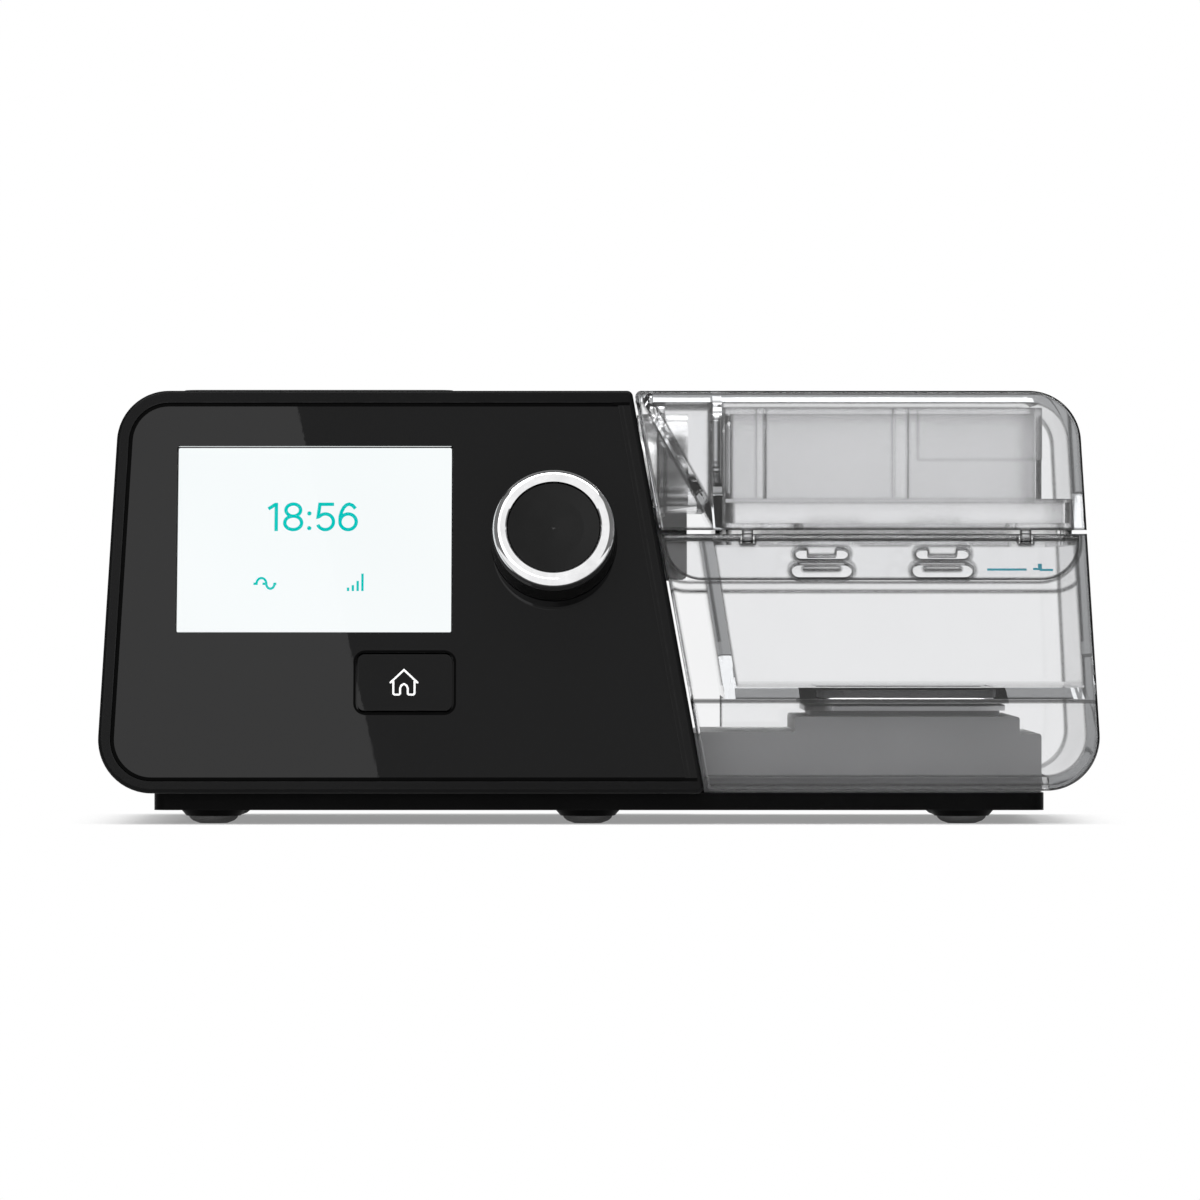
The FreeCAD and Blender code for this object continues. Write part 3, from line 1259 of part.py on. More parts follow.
def tub_plate_seal():
    low = HOT_TOP + METAL_GAP + METAL_THICK
    ring = level(metal_plan(), HOT_CORNER, low, TUB_FLOOR[0])
    return ring.cut(level(inset(metal_plan(), METAL_LIP), HOT_CORNER - METAL_LIP, 0, FAR))


def hinge_pin():
    end = HINGE_START + 5 * HINGE_PITCH
    return rod(HINGE_PIN, (HINGE_START + 0.2, HINGE_Y, HINGE_Z), (end - 0.2, HINGE_Y, HINGE_Z))


# ---- water chamber: lid ----


def gasket_y():
    """Front and back of the plug ring, kept clear of the leaning front wall."""
    return (face_y(SPLIT_Z, FLAP_POCKET + CLEAR_WALL) + LOOSE, CHAMBER_BACK - CLEAR_WALL - LOOSE)


def side_inner(z):
    """Inner face of the right wall at height z."""
    return half_width(z) - CHAMBER_WALL


def lid_gasket():
    plan = rectangle((GASKET_LEFT, side_inner(SPLIT_Z) - LOOSE), gasket_y())
    ring = level(plan, 3.0, GASKET_LOW, LID_BOTTOM)
    groove = level(inset(plan, -1.0), 4.0, GASKET_LOW + 1.4, GASKET_LOW + 2.2)
    groove = groove.cut(level(inset(plan, 0.5), 2.5, 0, FAR))
    return ring.cut(level(inset(plan, GASKET_WIDE), 1.5, 0, FAR)).cut(groove)


def lid_liner():
    """Shallow tray under the air baffle, with two openings to the water."""
    plan = rectangle((LINER_LEFT, side_inner(LINER_TOP) - LOOSE), gasket_y())
    tray = level(plan, 2.0, LID_BOTTOM, LINER_TOP)
    tray = tray.cut(level(inset(plan, LINER_WALL), 1.0, LID_BOTTOM + LINER_WALL, FAR))
    width, depth, corner = LINER_OPENING
    for y in (SUPPLY_Y - 8, RETURN_Y + 4):
        tray = tray.cut(level(around(sum(HOT_X) / 2, y, width, depth), corner, 0, FAR))
    return tray


def port_windows(x0, x1):
    cuts = []
    for y in (SUPPLY_Y, RETURN_Y):
        plan = around(y, PORT_Z, 2 * PORT_RADIUS, 2 * PORT_RADIUS)
        cuts.append(sideways(plan, 3.0, x0, x1))
    return cuts


def air_baffle():
    """Box in the lid that leads the air over the water."""
    low = LINER_TOP
    flange_plan = rectangle((LINER_LEFT, side_inner(low + 1.0) - LOOSE), gasket_y())
    flange = level(flange_plan, 2.0, low, low + 1.0)
    plan = rectangle((LINER_LEFT, BAFFLE_RIGHT), BAFFLE_Y)
    box = level(plan, 2.0, low, BAFFLE_TOP)
    front = BAFFLE_Y[0]
    ribs = [rod(radius, (x, front, low + 1), (x, front, BAFFLE_TOP)) for x, radius in BAFFLE_RIBS]
    pad = block((BAFFLE_PAD[0], BAFFLE_RIGHT), (front - BAFFLE_STEP, front + 1), (BAFFLE_PAD[1], BAFFLE_TOP))
    body = join([flange, box, pad] + ribs)
    body = body.cut(level(inset(plan, BAFFLE_WALL), 0.6, 0, BAFFLE_TOP - BAFFLE_WALL))
    for cut in port_windows(LINER_LEFT - 1, LINER_LEFT + BAFFLE_WALL + 1):
        body = body.cut(cut)
    return body


def lid_shell():
    outer = chamber_block(LID_BOTTOM, FAR)
    front = outer.common(face_slab(-CLEAR_WALL, FAR))
    rim = outer.cut(chamber_core())
    high = BODY_TOP - CHAMBER_WALL / 2
    slant = [(DIAGONAL_LOW, LID_BOTTOM), (DIAGONAL_LOW + DIAGONAL_THICK, LID_BOTTOM),
             (DIAGONAL_TOP + DIAGONAL_THICK, high), (DIAGONAL_TOP, high)]
    diagonal = outer.common(behind(slant, 0))
    back = outer.common(upright([slant[0], (FAR, LID_BOTTOM), (FAR, high), slant[3]], 0,
                                CHAMBER_BACK - CLEAR_WALL, CHAMBER_BACK))
    partition = outer.common(behind(rectangle(PARTITION_X, (LID_BOTTOM, high)), 0))
    right_of = upright([slant[0], (FAR, LID_BOTTOM), (FAR, high), slant[3]], 0, -FAR, FAR)
    middle = (SUPPLY_Y + RETURN_Y) / 2
    divider = block((0, PARTITION_X[0] + 1), (middle - 1, middle + 1), (LID_BOTTOM, high)).common(right_of)
    ears = []
    for x0, x1 in EAR_X:
        v = face_v(PIVOT_Z, PIVOT_OUT)
        ears.append(along_face(PIVOT_BARREL, v, PIVOT_OUT, x0, x1))
        ears.append(on_face(block((x0, x1), (v, face_v(LID_BOTTOM) + 1.0),
                                  (PIVOT_OUT - PIVOT_BARREL, PIVOT_OUT + PIVOT_BARREL))))
    body = join([front, rim, diagonal, back, partition, divider] + ears)
    for y in (SUPPLY_Y, RETURN_Y):
        pipe = along_x(PORT_TUBE, y, PORT_Z, PORT_FLANGE_X[0], DIAGONAL_LOW)
        flange = along_x(PORT_FLANGE, y, PORT_Z, *PORT_FLANGE_X)
        body = body.fuse([pipe.cut(right_of), flange])
    for y in (SUPPLY_Y, RETURN_Y):
        body = body.cut(along_x(SEAL_RADIUS, y, PORT_Z, 0, PARTITION_X[0] - 0.5))
    for cut in port_windows(PARTITION_X[0] - 1, PARTITION_X[1] + 1):
        body = body.cut(cut)
    body = body.fuse(knuckles(1, (LID_BOTTOM, HINGE_Z + HINGE_KNUCKLE))).removeSplitter()
    pin_hole = along_face(PIVOT_PIN + PIVOT_FIT, face_v(PIVOT_Z, PIVOT_OUT), PIVOT_OUT, 0, FAR)
    return body.cut(hinge_bore()).cut(pin_hole)


def lid_port_seals():
    """Soft rings that press on the machine's air ports."""
    solids = []
    for y in (SUPPLY_Y, RETURN_Y):
        ring = tube(SEAL_RADIUS - RUN, PORT_RADIUS, (0, y, PORT_Z), (SEAL_END_X, y, PORT_Z))
        solids.append(ring.common(seam_side(LOOSE, False)).Solids[0])
    return Part.makeCompound(solids)


def latch_pin():
    start = EAR_X[0][0] - PIN_OVERHANG
    end = EAR_X[1][1] + PIN_OVERHANG
    return along_face(PIVOT_PIN, face_v(PIVOT_Z, PIVOT_OUT), PIVOT_OUT, start, end)


def slot_plan(x, v, width, height):
    return around(x, v, width, height), height / 2 - 0.01


def lid_latch():
    corners = flap_corners()
    flap = upright(corners, [FLAP_CORNER - 0.6, FLAP_CORNER - 0.6, 0, 0], -FAR, FAR)
    flap = flap.common(face_slab(-FLAP_THICK, 0))
    v = face_v(PIVOT_Z, PIVOT_OUT)
    start = corners[3][0] + 0.3
    barrel = along_face(PIVOT_BARREL, v, PIVOT_OUT, start, FLAP_RIGHT)
    trims = []
    window_v = face_v(WINDOW_Z)
    for x in WINDOW_X:
        plan, radius = slot_plan(x, window_v, WINDOW_SIZE[0] + 1.6, WINDOW_SIZE[1] + 1.6)
        trims.append(face_prism(plan, radius, -1, 0.3))
        plan, radius = slot_plan(x, window_v + CLIP_RISE, CLIP_SIZE[0] + 1.6, CLIP_SIZE[1] + 1.2)
        trims.append(face_prism(plan, radius, -1, 0.3))
    flap = join([flap, barrel] + trims)
    for x in WINDOW_X:
        plan, radius = slot_plan(x, window_v, *WINDOW_SIZE)
        flap = flap.cut(face_prism(plan, radius, -FAR, FAR))
        plan, radius = slot_plan(x, window_v + CLIP_RISE, *CLIP_SIZE)
        tongue = around(x, window_v + CLIP_RISE + CLIP_SIZE[1] / 2, CLIP_TONGUE, CLIP_SIZE[1] + 1.0)
        clip = face_prism(plan, radius, -FAR, FAR).cut(face_prism(tongue, 0.6, -FAR, FAR))
        flap = flap.cut(clip)
    for x0, x1 in EAR_X:
        notch = block((x0 - LOOSE, x1 + LOOSE), (v - PIVOT_BARREL - LOOSE, v + 5), (-5, 1))
        flap = flap.cut(on_face(notch))
    return flap.cut(along_face(PIVOT_PIN + PIVOT_RUN, v, PIVOT_OUT, 0, FAR))


SUBPARTS = [
    main_housing, rear_cover, rear_screws, top_button, top_switch, base_plate, feet,
    front_panel, display_lens, display_module, main_board, rotary_encoder, encoder_plunger,
    knob_shaft, knob_skirt, knob_ring, knob_cap, home_button, home_switch,
    blower_case_front, blower_case_rear, blower_motor, impeller, blower_cradle, blower_pads,
    blower_duct, return_duct, outlet_spigot, silencer_foam,
    air_filter, filter_cover, dc_inlet, card_reader, memory_card, dock_key,
    heater_deck, heater_plate, heater_skirt, heater_spring,
    tub_shell, tub_heat_plate, tub_plate_seal, hinge_pin,
    lid_shell, lid_gasket, lid_liner, air_baffle, lid_port_seals, latch_pin, lid_latch,
]


def main():
    os.makedirs("parts", exist_ok=True)
    for build in SUBPARTS:
        shape = build()
        shape.exportStep("parts/" + build.__name__ + ".step")
        print(build.__name__, len(shape.Solids), "solid(s)", round(shape.Volume), "mm3", shape.isValid())


main()
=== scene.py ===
# %% [markdown]
# # A sleep-therapy blower with a clear water chamber
# The machine's solids come from a CAD frame and stay exactly where they are. This lesson dresses
# them: each cell gives one piece its finish or adds one thin piece that rides on the frame.
# Lengths are metres. The front face leans back, so many places are given "on the face":
# across (x), up the face (v) and out of it (n).

# %% Load the frame
import math

import bmesh
import bpy
from mathutils import Matrix, Vector


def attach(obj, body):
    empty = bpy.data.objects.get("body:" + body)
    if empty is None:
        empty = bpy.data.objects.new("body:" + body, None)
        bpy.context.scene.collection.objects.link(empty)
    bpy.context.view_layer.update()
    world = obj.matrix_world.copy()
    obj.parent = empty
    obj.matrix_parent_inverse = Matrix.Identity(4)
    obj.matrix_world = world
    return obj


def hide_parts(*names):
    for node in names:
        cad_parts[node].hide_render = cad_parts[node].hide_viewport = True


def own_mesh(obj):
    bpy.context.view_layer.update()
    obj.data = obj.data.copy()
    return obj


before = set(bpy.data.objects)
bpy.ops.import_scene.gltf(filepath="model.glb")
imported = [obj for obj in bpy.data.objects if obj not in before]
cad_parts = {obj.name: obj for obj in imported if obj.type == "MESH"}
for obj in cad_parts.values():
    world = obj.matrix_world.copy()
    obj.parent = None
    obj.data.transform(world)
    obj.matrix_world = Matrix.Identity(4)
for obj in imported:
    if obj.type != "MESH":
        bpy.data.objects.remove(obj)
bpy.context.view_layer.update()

MM = 0.001

# %% [markdown]
# ## Places on the leaning face
# Everything on the front is placed on one leaning plane. Its foot and its lean are the only two
# numbers needed; one function then turns a place on the face into a point in the room, so each icon
# and digit lies flat on the glass.

# %% Face axes
FACE_LEAN = math.radians(16.5)
FACE_FOOT = Vector((0.0, -79.0 * MM, 8.2 * MM))
ACROSS = Vector((1, 0, 0))
UP_FACE = Vector((0, math.sin(FACE_LEAN), math.cos(FACE_LEAN)))
OUT_FACE = Vector((0, -math.cos(FACE_LEAN), math.sin(FACE_LEAN)))
FACE_MATRIX = Matrix.Translation(FACE_FOOT) @ Matrix((ACROSS, UP_FACE, OUT_FACE)).transposed().to_4x4()


def face_point(x, v, n=0.0):
    """Point from millimetres across, up and out of the face."""
    return FACE_MATRIX @ Vector((x * MM, v * MM, n * MM))


def face_v(z):
    """Millimetres up the face of a front-view height z in millimetres."""
    return (z - FACE_FOOT.z / MM) / math.cos(FACE_LEAN)


print("top edge of the face:", [round(value, 4) for value in face_point(0, face_v(115.2))])

# %% [markdown]
# ## Helpers for pieces
# A finished piece is a plain mesh at the origin, with its place in its vertices, so patterns on
# Object coordinates stay still when the piece is posed. `add_piece` does this for every mesh.

# %% Piece helpers
def add_piece(name, mesh, material, body, smooth=False):
    """Link a mesh as a piece that rides on a body."""
    mesh.materials.clear()
    mesh.materials.append(material)
    for polygon in mesh.polygons:
        polygon.use_smooth = smooth
    piece = bpy.data.objects.new(name, mesh)
    bpy.context.scene.collection.objects.link(piece)
    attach(piece, body)
    return piece


def mesh_from(builder, name, matrix=None):
    """Make a mesh with a bmesh builder, closed and facing outwards."""
    work = bmesh.new()
    builder(work)
    bmesh.ops.remove_doubles(work, verts=work.verts, dist=1e-7)
    bmesh.ops.recalc_face_normals(work, faces=work.faces)
    if matrix:
        work.transform(matrix)
    mesh = bpy.data.meshes.new(name)
    work.to_mesh(mesh)
    work.free()
    return mesh


def plate_mesh(name, outlines, low, high, matrix=FACE_MATRIX):
    """Flat plates from closed outlines in millimetres, between two heights."""
    def build(work):
        for points in outlines:
            bottom = [work.verts.new((x * MM, y * MM, low * MM)) for x, y in points]
            top = [work.verts.new((x * MM, y * MM, high * MM)) for x, y in points]
            work.faces.new(list(reversed(bottom)))
            work.faces.new(top)
            count = len(points)
            for i in range(count):
                j = (i + 1) % count
                work.faces.new((bottom[i], bottom[j], top[j], top[i]))
    return mesh_from(build, name, matrix)


def rounded_outline(x, y, width, height, radius, steps=6):
    """Rounded rectangle about a centre, anticlockwise."""
    points = []
    corners = ((1, 1, 0), (-1, 1, 90), (-1, -1, 180), (1, -1, 270))
    for sx, sy, start in corners:
        cx = x + sx * (width / 2 - radius)
        cy = y + sy * (height / 2 - radius)
        for i in range(steps + 1):
            angle = math.radians(start + 90 * i / steps)
            points.append((cx + radius * math.cos(angle), cy + radius * math.sin(angle)))
    return points


def stroke_mesh(name, lines, width, low, high, matrix=FACE_MATRIX):
    """Pen strokes of even width along open or closed point lists, as one thin plate each."""
    outlines = []
    for points, closed in lines:
        count = len(points)
        left, right = [], []
        for i, point in enumerate(points):
            before = points[i - 1] if i > 0 or closed else point
            after = points[(i + 1) % count] if i < count - 1 or closed else point
            a = Vector(point) - Vector(before)
            b = Vector(after) - Vector(point)
            a = a.normalized() if a.length else b.normalized()
            b = b.normalized() if b.length else a
            bisect = (a + b).normalized()
            normal = Vector((-bisect.y, bisect.x))
            reach = width / 2 / max(0.4, normal.dot(Vector((-a.y, a.x))))
            left.append(Vector(point) + normal * reach)
            right.append(Vector(point) - normal * reach)
        for i in range(count if closed else count - 1):
            j = (i + 1) % count
            outlines.append([tuple(left[i]), tuple(right[i]), tuple(right[j]), tuple(left[j])])
    return joined_plate(name, outlines, low, high, matrix)


def joined_plate(name, quads, low, high, matrix):
    """Neighbouring flat quads as one closed plate with a shared top and bottom."""
    def build(work):
        for quad in quads:
            work.faces.new([work.verts.new((x * MM, y * MM, low * MM)) for x, y in quad])
        bmesh.ops.remove_doubles(work, verts=work.verts, dist=1e-6)
        bmesh.ops.recalc_face_normals(work, faces=work.faces)
        made = bmesh.ops.extrude_face_region(work, geom=work.faces[:])
        raised = [item for item in made["geom"] if isinstance(item, bmesh.types.BMVert)]
        bmesh.ops.translate(work, verts=raised, vec=(0, 0, (high - low) * MM))
    return mesh_from(build, name, matrix)


print("helpers ready")

# %% [markdown]
# ## Shared surface effects
# Four node groups hold what many finishes share. Each takes a colour, and most a roughness, and gives
# them back with detail, so a finish is a few groups plus the constants on its own shader. Patterns
# read Object coordinates, which are metres here, so a scale of 2500 is a grain of 0.4 mm.

# %% Node helpers
def put(socket, value):
    """Link an output into a socket, or set a constant on it."""
    if isinstance(value, bpy.types.NodeSocket):
        socket.id_data.links.new(value, socket)
    else:
        socket.default_value = value


def fill(node, **values):
    """Give a node's inputs by name, with underscores for spaces."""
    for label, value in values.items():
        put(node.inputs[label.replace("_", " ")], value)


def add_node(tree, kind, **values):
    node = tree.nodes.new(kind)
    fill(node, **values)
    return node


def object_place(tree):
    return add_node(tree, "ShaderNodeTexCoord").outputs["Object"]


def noise(tree, coordinates, scale, detail=3.0, roughness=0.5, distortion=0.0):
    return add_node(tree, "ShaderNodeTexNoise", Vector=coordinates, Scale=scale, Detail=detail,
                    Roughness=roughness, Distortion=distortion).outputs["Fac"]


def remap(tree, value, low, high, to_low=0.0, to_high=1.0):
    return add_node(tree, "ShaderNodeMapRange", Value=value, From_Min=low, From_Max=high, To_Min=to_low,
                    To_Max=to_high).outputs["Result"]


def maths(tree, operation, *values):
    node = add_node(tree, "ShaderNodeMath")
    node.operation = operation
    for socket, value in zip(node.inputs, values):
        put(socket, value)
    return node.outputs["Value"]


def mix_colour(tree, factor, first, second, blend="MIX"):
    node = add_node(tree, "ShaderNodeMix")
    node.data_type = "RGBA"
    node.blend_type = blend
    for index, value in ((0, factor), (6, first), (7, second)):
        put(node.inputs[index], value)
    return node.outputs[2]


def bump(tree, height, strength, distance, normal=None):
    node = add_node(tree, "ShaderNodeBump", Height=height, Strength=strength, Distance=distance)
    if normal:
        fill(node, Normal=normal)
    return node.outputs["Normal"]


print("node helpers ready")

# %% [markdown]
# A group is made with named sockets, so a finish can set only what differs. A material starts as a
# plain Principled shader; what is the same all over, such as coat or index, is typed on the shader.

# %% Group and material helpers
COLOUR, NUMBER, VECTOR = "NodeSocketColor", "NodeSocketFloat", "NodeSocketVector"


def new_group(name, inputs, outputs):
    """Node group with named sockets: (name, type, default)."""
    group = bpy.data.node_groups.new(name, "ShaderNodeTree")
    for label, kind, value in inputs:
        group.interface.new_socket(label, in_out="INPUT", socket_type=kind).default_value = value
    for label, kind in outputs:
        group.interface.new_socket(label, in_out="OUTPUT", socket_type=kind)
    return group, group.nodes.new("NodeGroupInput"), group.nodes.new("NodeGroupOutput")


def use_group(tree, group, **values):
    node = tree.nodes.new("ShaderNodeGroup")
    node.node_tree = group
    fill(node, **values)
    return node


def new_material(name, **constants):
    """Material with its tree and its Principled shader, with the shader's constants set."""
    material = bpy.data.materials.new(name)
    material.use_nodes = True
    shader = material.node_tree.nodes["Principled BSDF"]
    fill(shader, **constants)
    return material, material.node_tree, shader


def grey(value, tint=0.0):
    """Neutral colour, a little bluer with a positive tint."""
    return (value, value, value * (1 + tint), 1)


print("group and material helpers ready")

# %% [markdown]
# ### Moulded surface
# Injection-moulded plastic is not one colour: the pigment drifts a little over centimetres, the
# sparked grain gives it a fine relief, and some patches are a little duller than others.

# %% Moulded group
moulded, into, out = new_group(
    "Moulded Surface",
    [("Color", COLOUR, (0.5, 0.5, 0.5, 1)), ("Drift", NUMBER, 0.06), ("Roughness", NUMBER, 0.4),
     ("Spread", NUMBER, 0.06), ("Grain", NUMBER, 2500.0), ("Depth", NUMBER, 0.2)],
    [("Color", COLOUR), ("Roughness", NUMBER), ("Normal", VECTOR)])
given = into.outputs
where = object_place(moulded)
slow = noise(moulded, where, 35.0, 2.0)
fine = noise(moulded, where, given["Grain"], 2.0)
drift = maths(moulded, "MULTIPLY", remap(moulded, slow, 0.3, 0.7, -1.0, 1.0), given["Drift"])
speck = maths(moulded, "MULTIPLY", remap(moulded, fine, 0.3, 0.7, -0.35, 0.35), given["Drift"])
tone = maths(moulded, "ADD", maths(moulded, "ADD", drift, speck), 1.0)
shade = add_node(moulded, "ShaderNodeHueSaturation", Color=given["Color"], Value=tone)
patchy = remap(moulded, noise(moulded, where, 120.0, 3.0), 0.3, 0.7, -1.0, 1.0)
gloss = maths(moulded, "MULTIPLY", patchy, given["Spread"])
fill(out, Color=shade.outputs["Color"], Roughness=maths(moulded, "ADD", gloss, given["Roughness"]),
     Normal=bump(moulded, fine, given["Depth"], 0.00006))
print("moulded surface:", len(moulded.nodes), "nodes")

# %% [markdown]
# ### Handling marks
# Fingers leave faint greasy ovals where a part is touched, and dust settles on what faces up. The
# group darkens nothing by much; it mostly changes the gloss, as real marks do.

# %% Handling group
handled, into, out = new_group(
    "Handling Marks",
    [("Color", COLOUR, (0.5, 0.5, 0.5, 1)), ("Roughness", NUMBER, 0.2), ("Smudge", NUMBER, 0.3),
     ("Dust", NUMBER, 0.2)],
    [("Color", COLOUR), ("Roughness", NUMBER)])
given = into.outputs
texture = add_node(handled, "ShaderNodeTexCoord")
where = texture.outputs["Object"]
patches = remap(handled, noise(handled, where, 45.0, 4.0, 0.6, 0.4), 0.52, 0.72)
streaks = remap(handled, noise(handled, where, 700.0, 2.0, 0.6), 0.35, 0.65)
smudge = maths(handled, "MULTIPLY", maths(handled, "MULTIPLY", patches, streaks), given["Smudge"])
parted = add_node(handled, "ShaderNodeSeparateXYZ", Vector=texture.outputs["Normal"])
upward = remap(handled, parted.outputs["Z"], 0.4, 1.0)
motes = remap(handled, noise(handled, where, 1800.0, 2.0, 0.7), 0.55, 0.75)
dust = maths(handled, "MULTIPLY", maths(handled, "MULTIPLY", upward, motes), given["Dust"])
rougher = maths(handled, "ADD", maths(handled, "MULTIPLY", smudge, 0.22), maths(handled, "MULTIPLY", dust, 0.3))
fill(out, Color=mix_colour(handled, maths(handled, "MULTIPLY", dust, 0.3), given["Color"], (0.55, 0.54, 0.52, 1)),
     Roughness=maths(handled, "ADD", rougher, given["Roughness"]))
print("handling marks:", len(handled.nodes), "nodes")

# %% [markdown]
# ### Worn edges and painted highlights
# A bevelled normal differs from the true one only near an edge. That difference, broken up by
# noise, gives a thin paler line on the corners of dark plastic: partly the wear that rubbing leaves,
# partly a painted highlight where a rounded edge would catch the light.

# %% Worn and highlighted edge group
WEAR_AND_HIGHLIGHT_RADIUS = 0.0005


def flatness(tree, radius, samples):
    """One on flat parts, and less where a bevel of this radius would turn the normal."""
    soft = add_node(tree, "ShaderNodeBevel", Radius=radius)
    soft.samples = samples
    against = add_node(tree, "ShaderNodeVectorMath")
    against.operation = "DOT_PRODUCT"
    put(against.inputs[0], soft.outputs["Normal"])
    put(against.inputs[1], add_node(tree, "ShaderNodeNewGeometry").outputs["Normal"])
    return against.outputs["Value"]


edges, into, out = new_group(
    "Edge Wear And Highlight",
    [("Color", COLOUR, (0.5, 0.5, 0.5, 1)), ("Worn Color", COLOUR, (0.6, 0.6, 0.6, 1)), ("Amount", NUMBER, 0.4),
     ("Roughness", NUMBER, 0.3)],
    [("Color", COLOUR), ("Roughness", NUMBER)])
given = into.outputs
line = remap(edges, flatness(edges, WEAR_AND_HIGHLIGHT_RADIUS, 4), 0.995, 0.85)
broken = remap(edges, noise(edges, object_place(edges), 260.0, 3.0), 0.35, 0.65, 0.25, 1.0)
wear_and_highlight = maths(edges, "MULTIPLY", maths(edges, "MULTIPLY", line, broken), given["Amount"])
fill(out, Color=mix_colour(edges, wear_and_highlight, given["Color"], given["Worn Color"]),
     Roughness=maths(edges, "ADD", given["Roughness"], maths(edges, "MULTIPLY", wear_and_highlight, 0.1)))
print("worn edges:", len(edges.nodes), "nodes")

# %% [markdown]
# ### Edges of clear plastic
# Light that enters a clear wall near an edge leaves sideways, so every edge shows as a dark line.
# `Edge Lines` darkens the colour there, over about half the wall's edge radius.

# %% Edge lines group
LINE_RADIUS = 0.0012
outlines, into, out = new_group(
    "Edge Lines",
    [("Color", COLOUR, (0.9, 0.9, 0.9, 1)), ("Line Color", COLOUR, (0.004, 0.004, 0.004, 1)),
     ("Amount", NUMBER, 0.9)],
    [("Color", COLOUR)])
given = into.outputs
line = remap(outlines, flatness(outlines, LINE_RADIUS, 6), 0.999, 0.982)
dark = maths(outlines, "MULTIPLY", line, given["Amount"])
fill(out, Color=mix_colour(outlines, dark, given["Color"], given["Line Color"]))
print("edge lines:", len(outlines.nodes), "nodes")

# %% [markdown]
# ## A finish from the groups
# `finish_of` chains the groups into one Principled shader.

# %% Finish maker
def finish_of(name, color, roughness, drift=0.06, spread=0.05, grain=2500.0, depth=0.15, smudge=0.0, dust=0.0,
              wear_and_highlight=0.0, wear_and_highlight_color=None, **constants):
    """Material from the shared groups; constants go straight onto the shader."""
    material, tree, shader = new_material(name, **constants)
    base = use_group(tree, moulded, Color=color, Drift=drift, Roughness=roughness, Spread=spread, Grain=grain,
                     Depth=depth)
    last = base.outputs
    if wear_and_highlight:
        wear_and_highlight_color = wear_and_highlight_color or tuple(min(1, part * 2.2 + 0.02) for part in color[:3]) + (1,)
        last = use_group(tree, edges, Color=last["Color"], Roughness=last["Roughness"], Worn_Color=wear_and_highlight_color,
                         Amount=wear_and_highlight).outputs
    if smudge or dust:
        last = use_group(tree, handled, Color=last["Color"], Roughness=last["Roughness"], Smudge=smudge,
                         Dust=dust).outputs
    fill(shader, Base_Color=last["Color"], Roughness=last["Roughness"], Normal=base.outputs["Normal"])
    return material


print("finish maker ready")

# %% [markdown]
# ## Black casing and panel
# The casing is satin, the panel is the same black in a gloss tool. The difference is only roughness
# and grain, so both share one colour family.

# %% Black plastics
# The paler line on the edges of these black plastics is partly a painted highlight along their rounded rims.
housing_black = finish_of("housing_black", grey(0.0055, 0.03), 0.24, drift=0.1, spread=0.04, depth=0.08, smudge=0.2,
                          wear_and_highlight=0.3, wear_and_highlight_color=grey(0.05, 0.02), Specular_IOR_Level=0.05)
rear_black = finish_of("rear_black", grey(0.008, 0.03), 0.42, drift=0.12, spread=0.06, depth=0.3, smudge=0.2,
                       dust=0.3, wear_and_highlight=0.4, wear_and_highlight_color=grey(0.06, 0.02), Specular_IOR_Level=0.25)
base_black = finish_of("base_black", grey(0.0025, 0.03), 0.34, drift=0.1, spread=0.05, depth=0.15, smudge=0.2,
                       dust=0.1, wear_and_highlight=0.3, wear_and_highlight_color=grey(0.04, 0.02), Specular_IOR_Level=0.04)
panel_black = finish_of("panel_black", grey(0.0032, 0.04), 0.006, drift=0.08, spread=0.003, grain=900.0, depth=0.004,
                        smudge=0.06, wear_and_highlight=0.2, wear_and_highlight_color=grey(0.04), Specular_IOR_Level=0.16)
knob_black = finish_of("knob_black", grey(0.006), 0.22, drift=0.1, spread=0.04, depth=0.05, smudge=0.4, wear_and_highlight=0.25,
                       wear_and_highlight_color=grey(0.06), Specular_IOR_Level=0.12)
# Near-black for the strips of painted shade laid in the grooves.
gasket_black = finish_of("gasket_black", grey(0.0015), 0.7, drift=0.2, grain=1600.0, depth=0.2,
                         Specular_IOR_Level=0.02)
switch_black = finish_of("switch_black", grey(0.02), 0.5, drift=0.12, depth=0.3)
display_dark = finish_of("display_dark", grey(0.012), 0.35, drift=0.15, depth=0.1)
foot_rubber = finish_of("foot_rubber", grey(0.17), 0.75, drift=0.15, spread=0.1, grain=1600.0, depth=0.5, dust=0.5)
pad_rubber = finish_of("pad_rubber", grey(0.03), 0.7, drift=0.15, spread=0.1, grain=1800.0, depth=0.5)
print("black finishes:", 10)

# %% [markdown]
# ## Metals
# The knob's ring is bright chrome over plastic. The shaft and pins are ground steel, and the heater
# plates are rolled aluminium, whose grain runs one way, so its noise is stretched along X.

# %% Metals
def metal_of(name, color, roughness, spread, stretch, scale, depth):
    """Bare metal with a directional grain; `stretch` scales Object coordinates."""
    material, tree, shader = new_material(name, Metallic=1.0)
    mapping = add_node(tree, "ShaderNodeMapping", Vector=object_place(tree), Scale=stretch)
    scratches = noise(tree, mapping.outputs["Vector"], scale, 4.0, 0.65)
    darker = tuple(part * 0.82 for part in color[:3]) + (1,)
    tone = mix_colour(tree, remap(tree, scratches, 0.25, 0.75, 0.0, 1.0), darker, color)
    gloss = remap(tree, scratches, 0.25, 0.75, roughness - spread, roughness + spread)
    marks = use_group(tree, handled, Color=tone, Roughness=gloss, Smudge=0.3, Dust=0.1).outputs
    fill(shader, Base_Color=marks["Color"], Roughness=marks["Roughness"],
         Normal=bump(tree, scratches, depth, 0.00003))
    return material


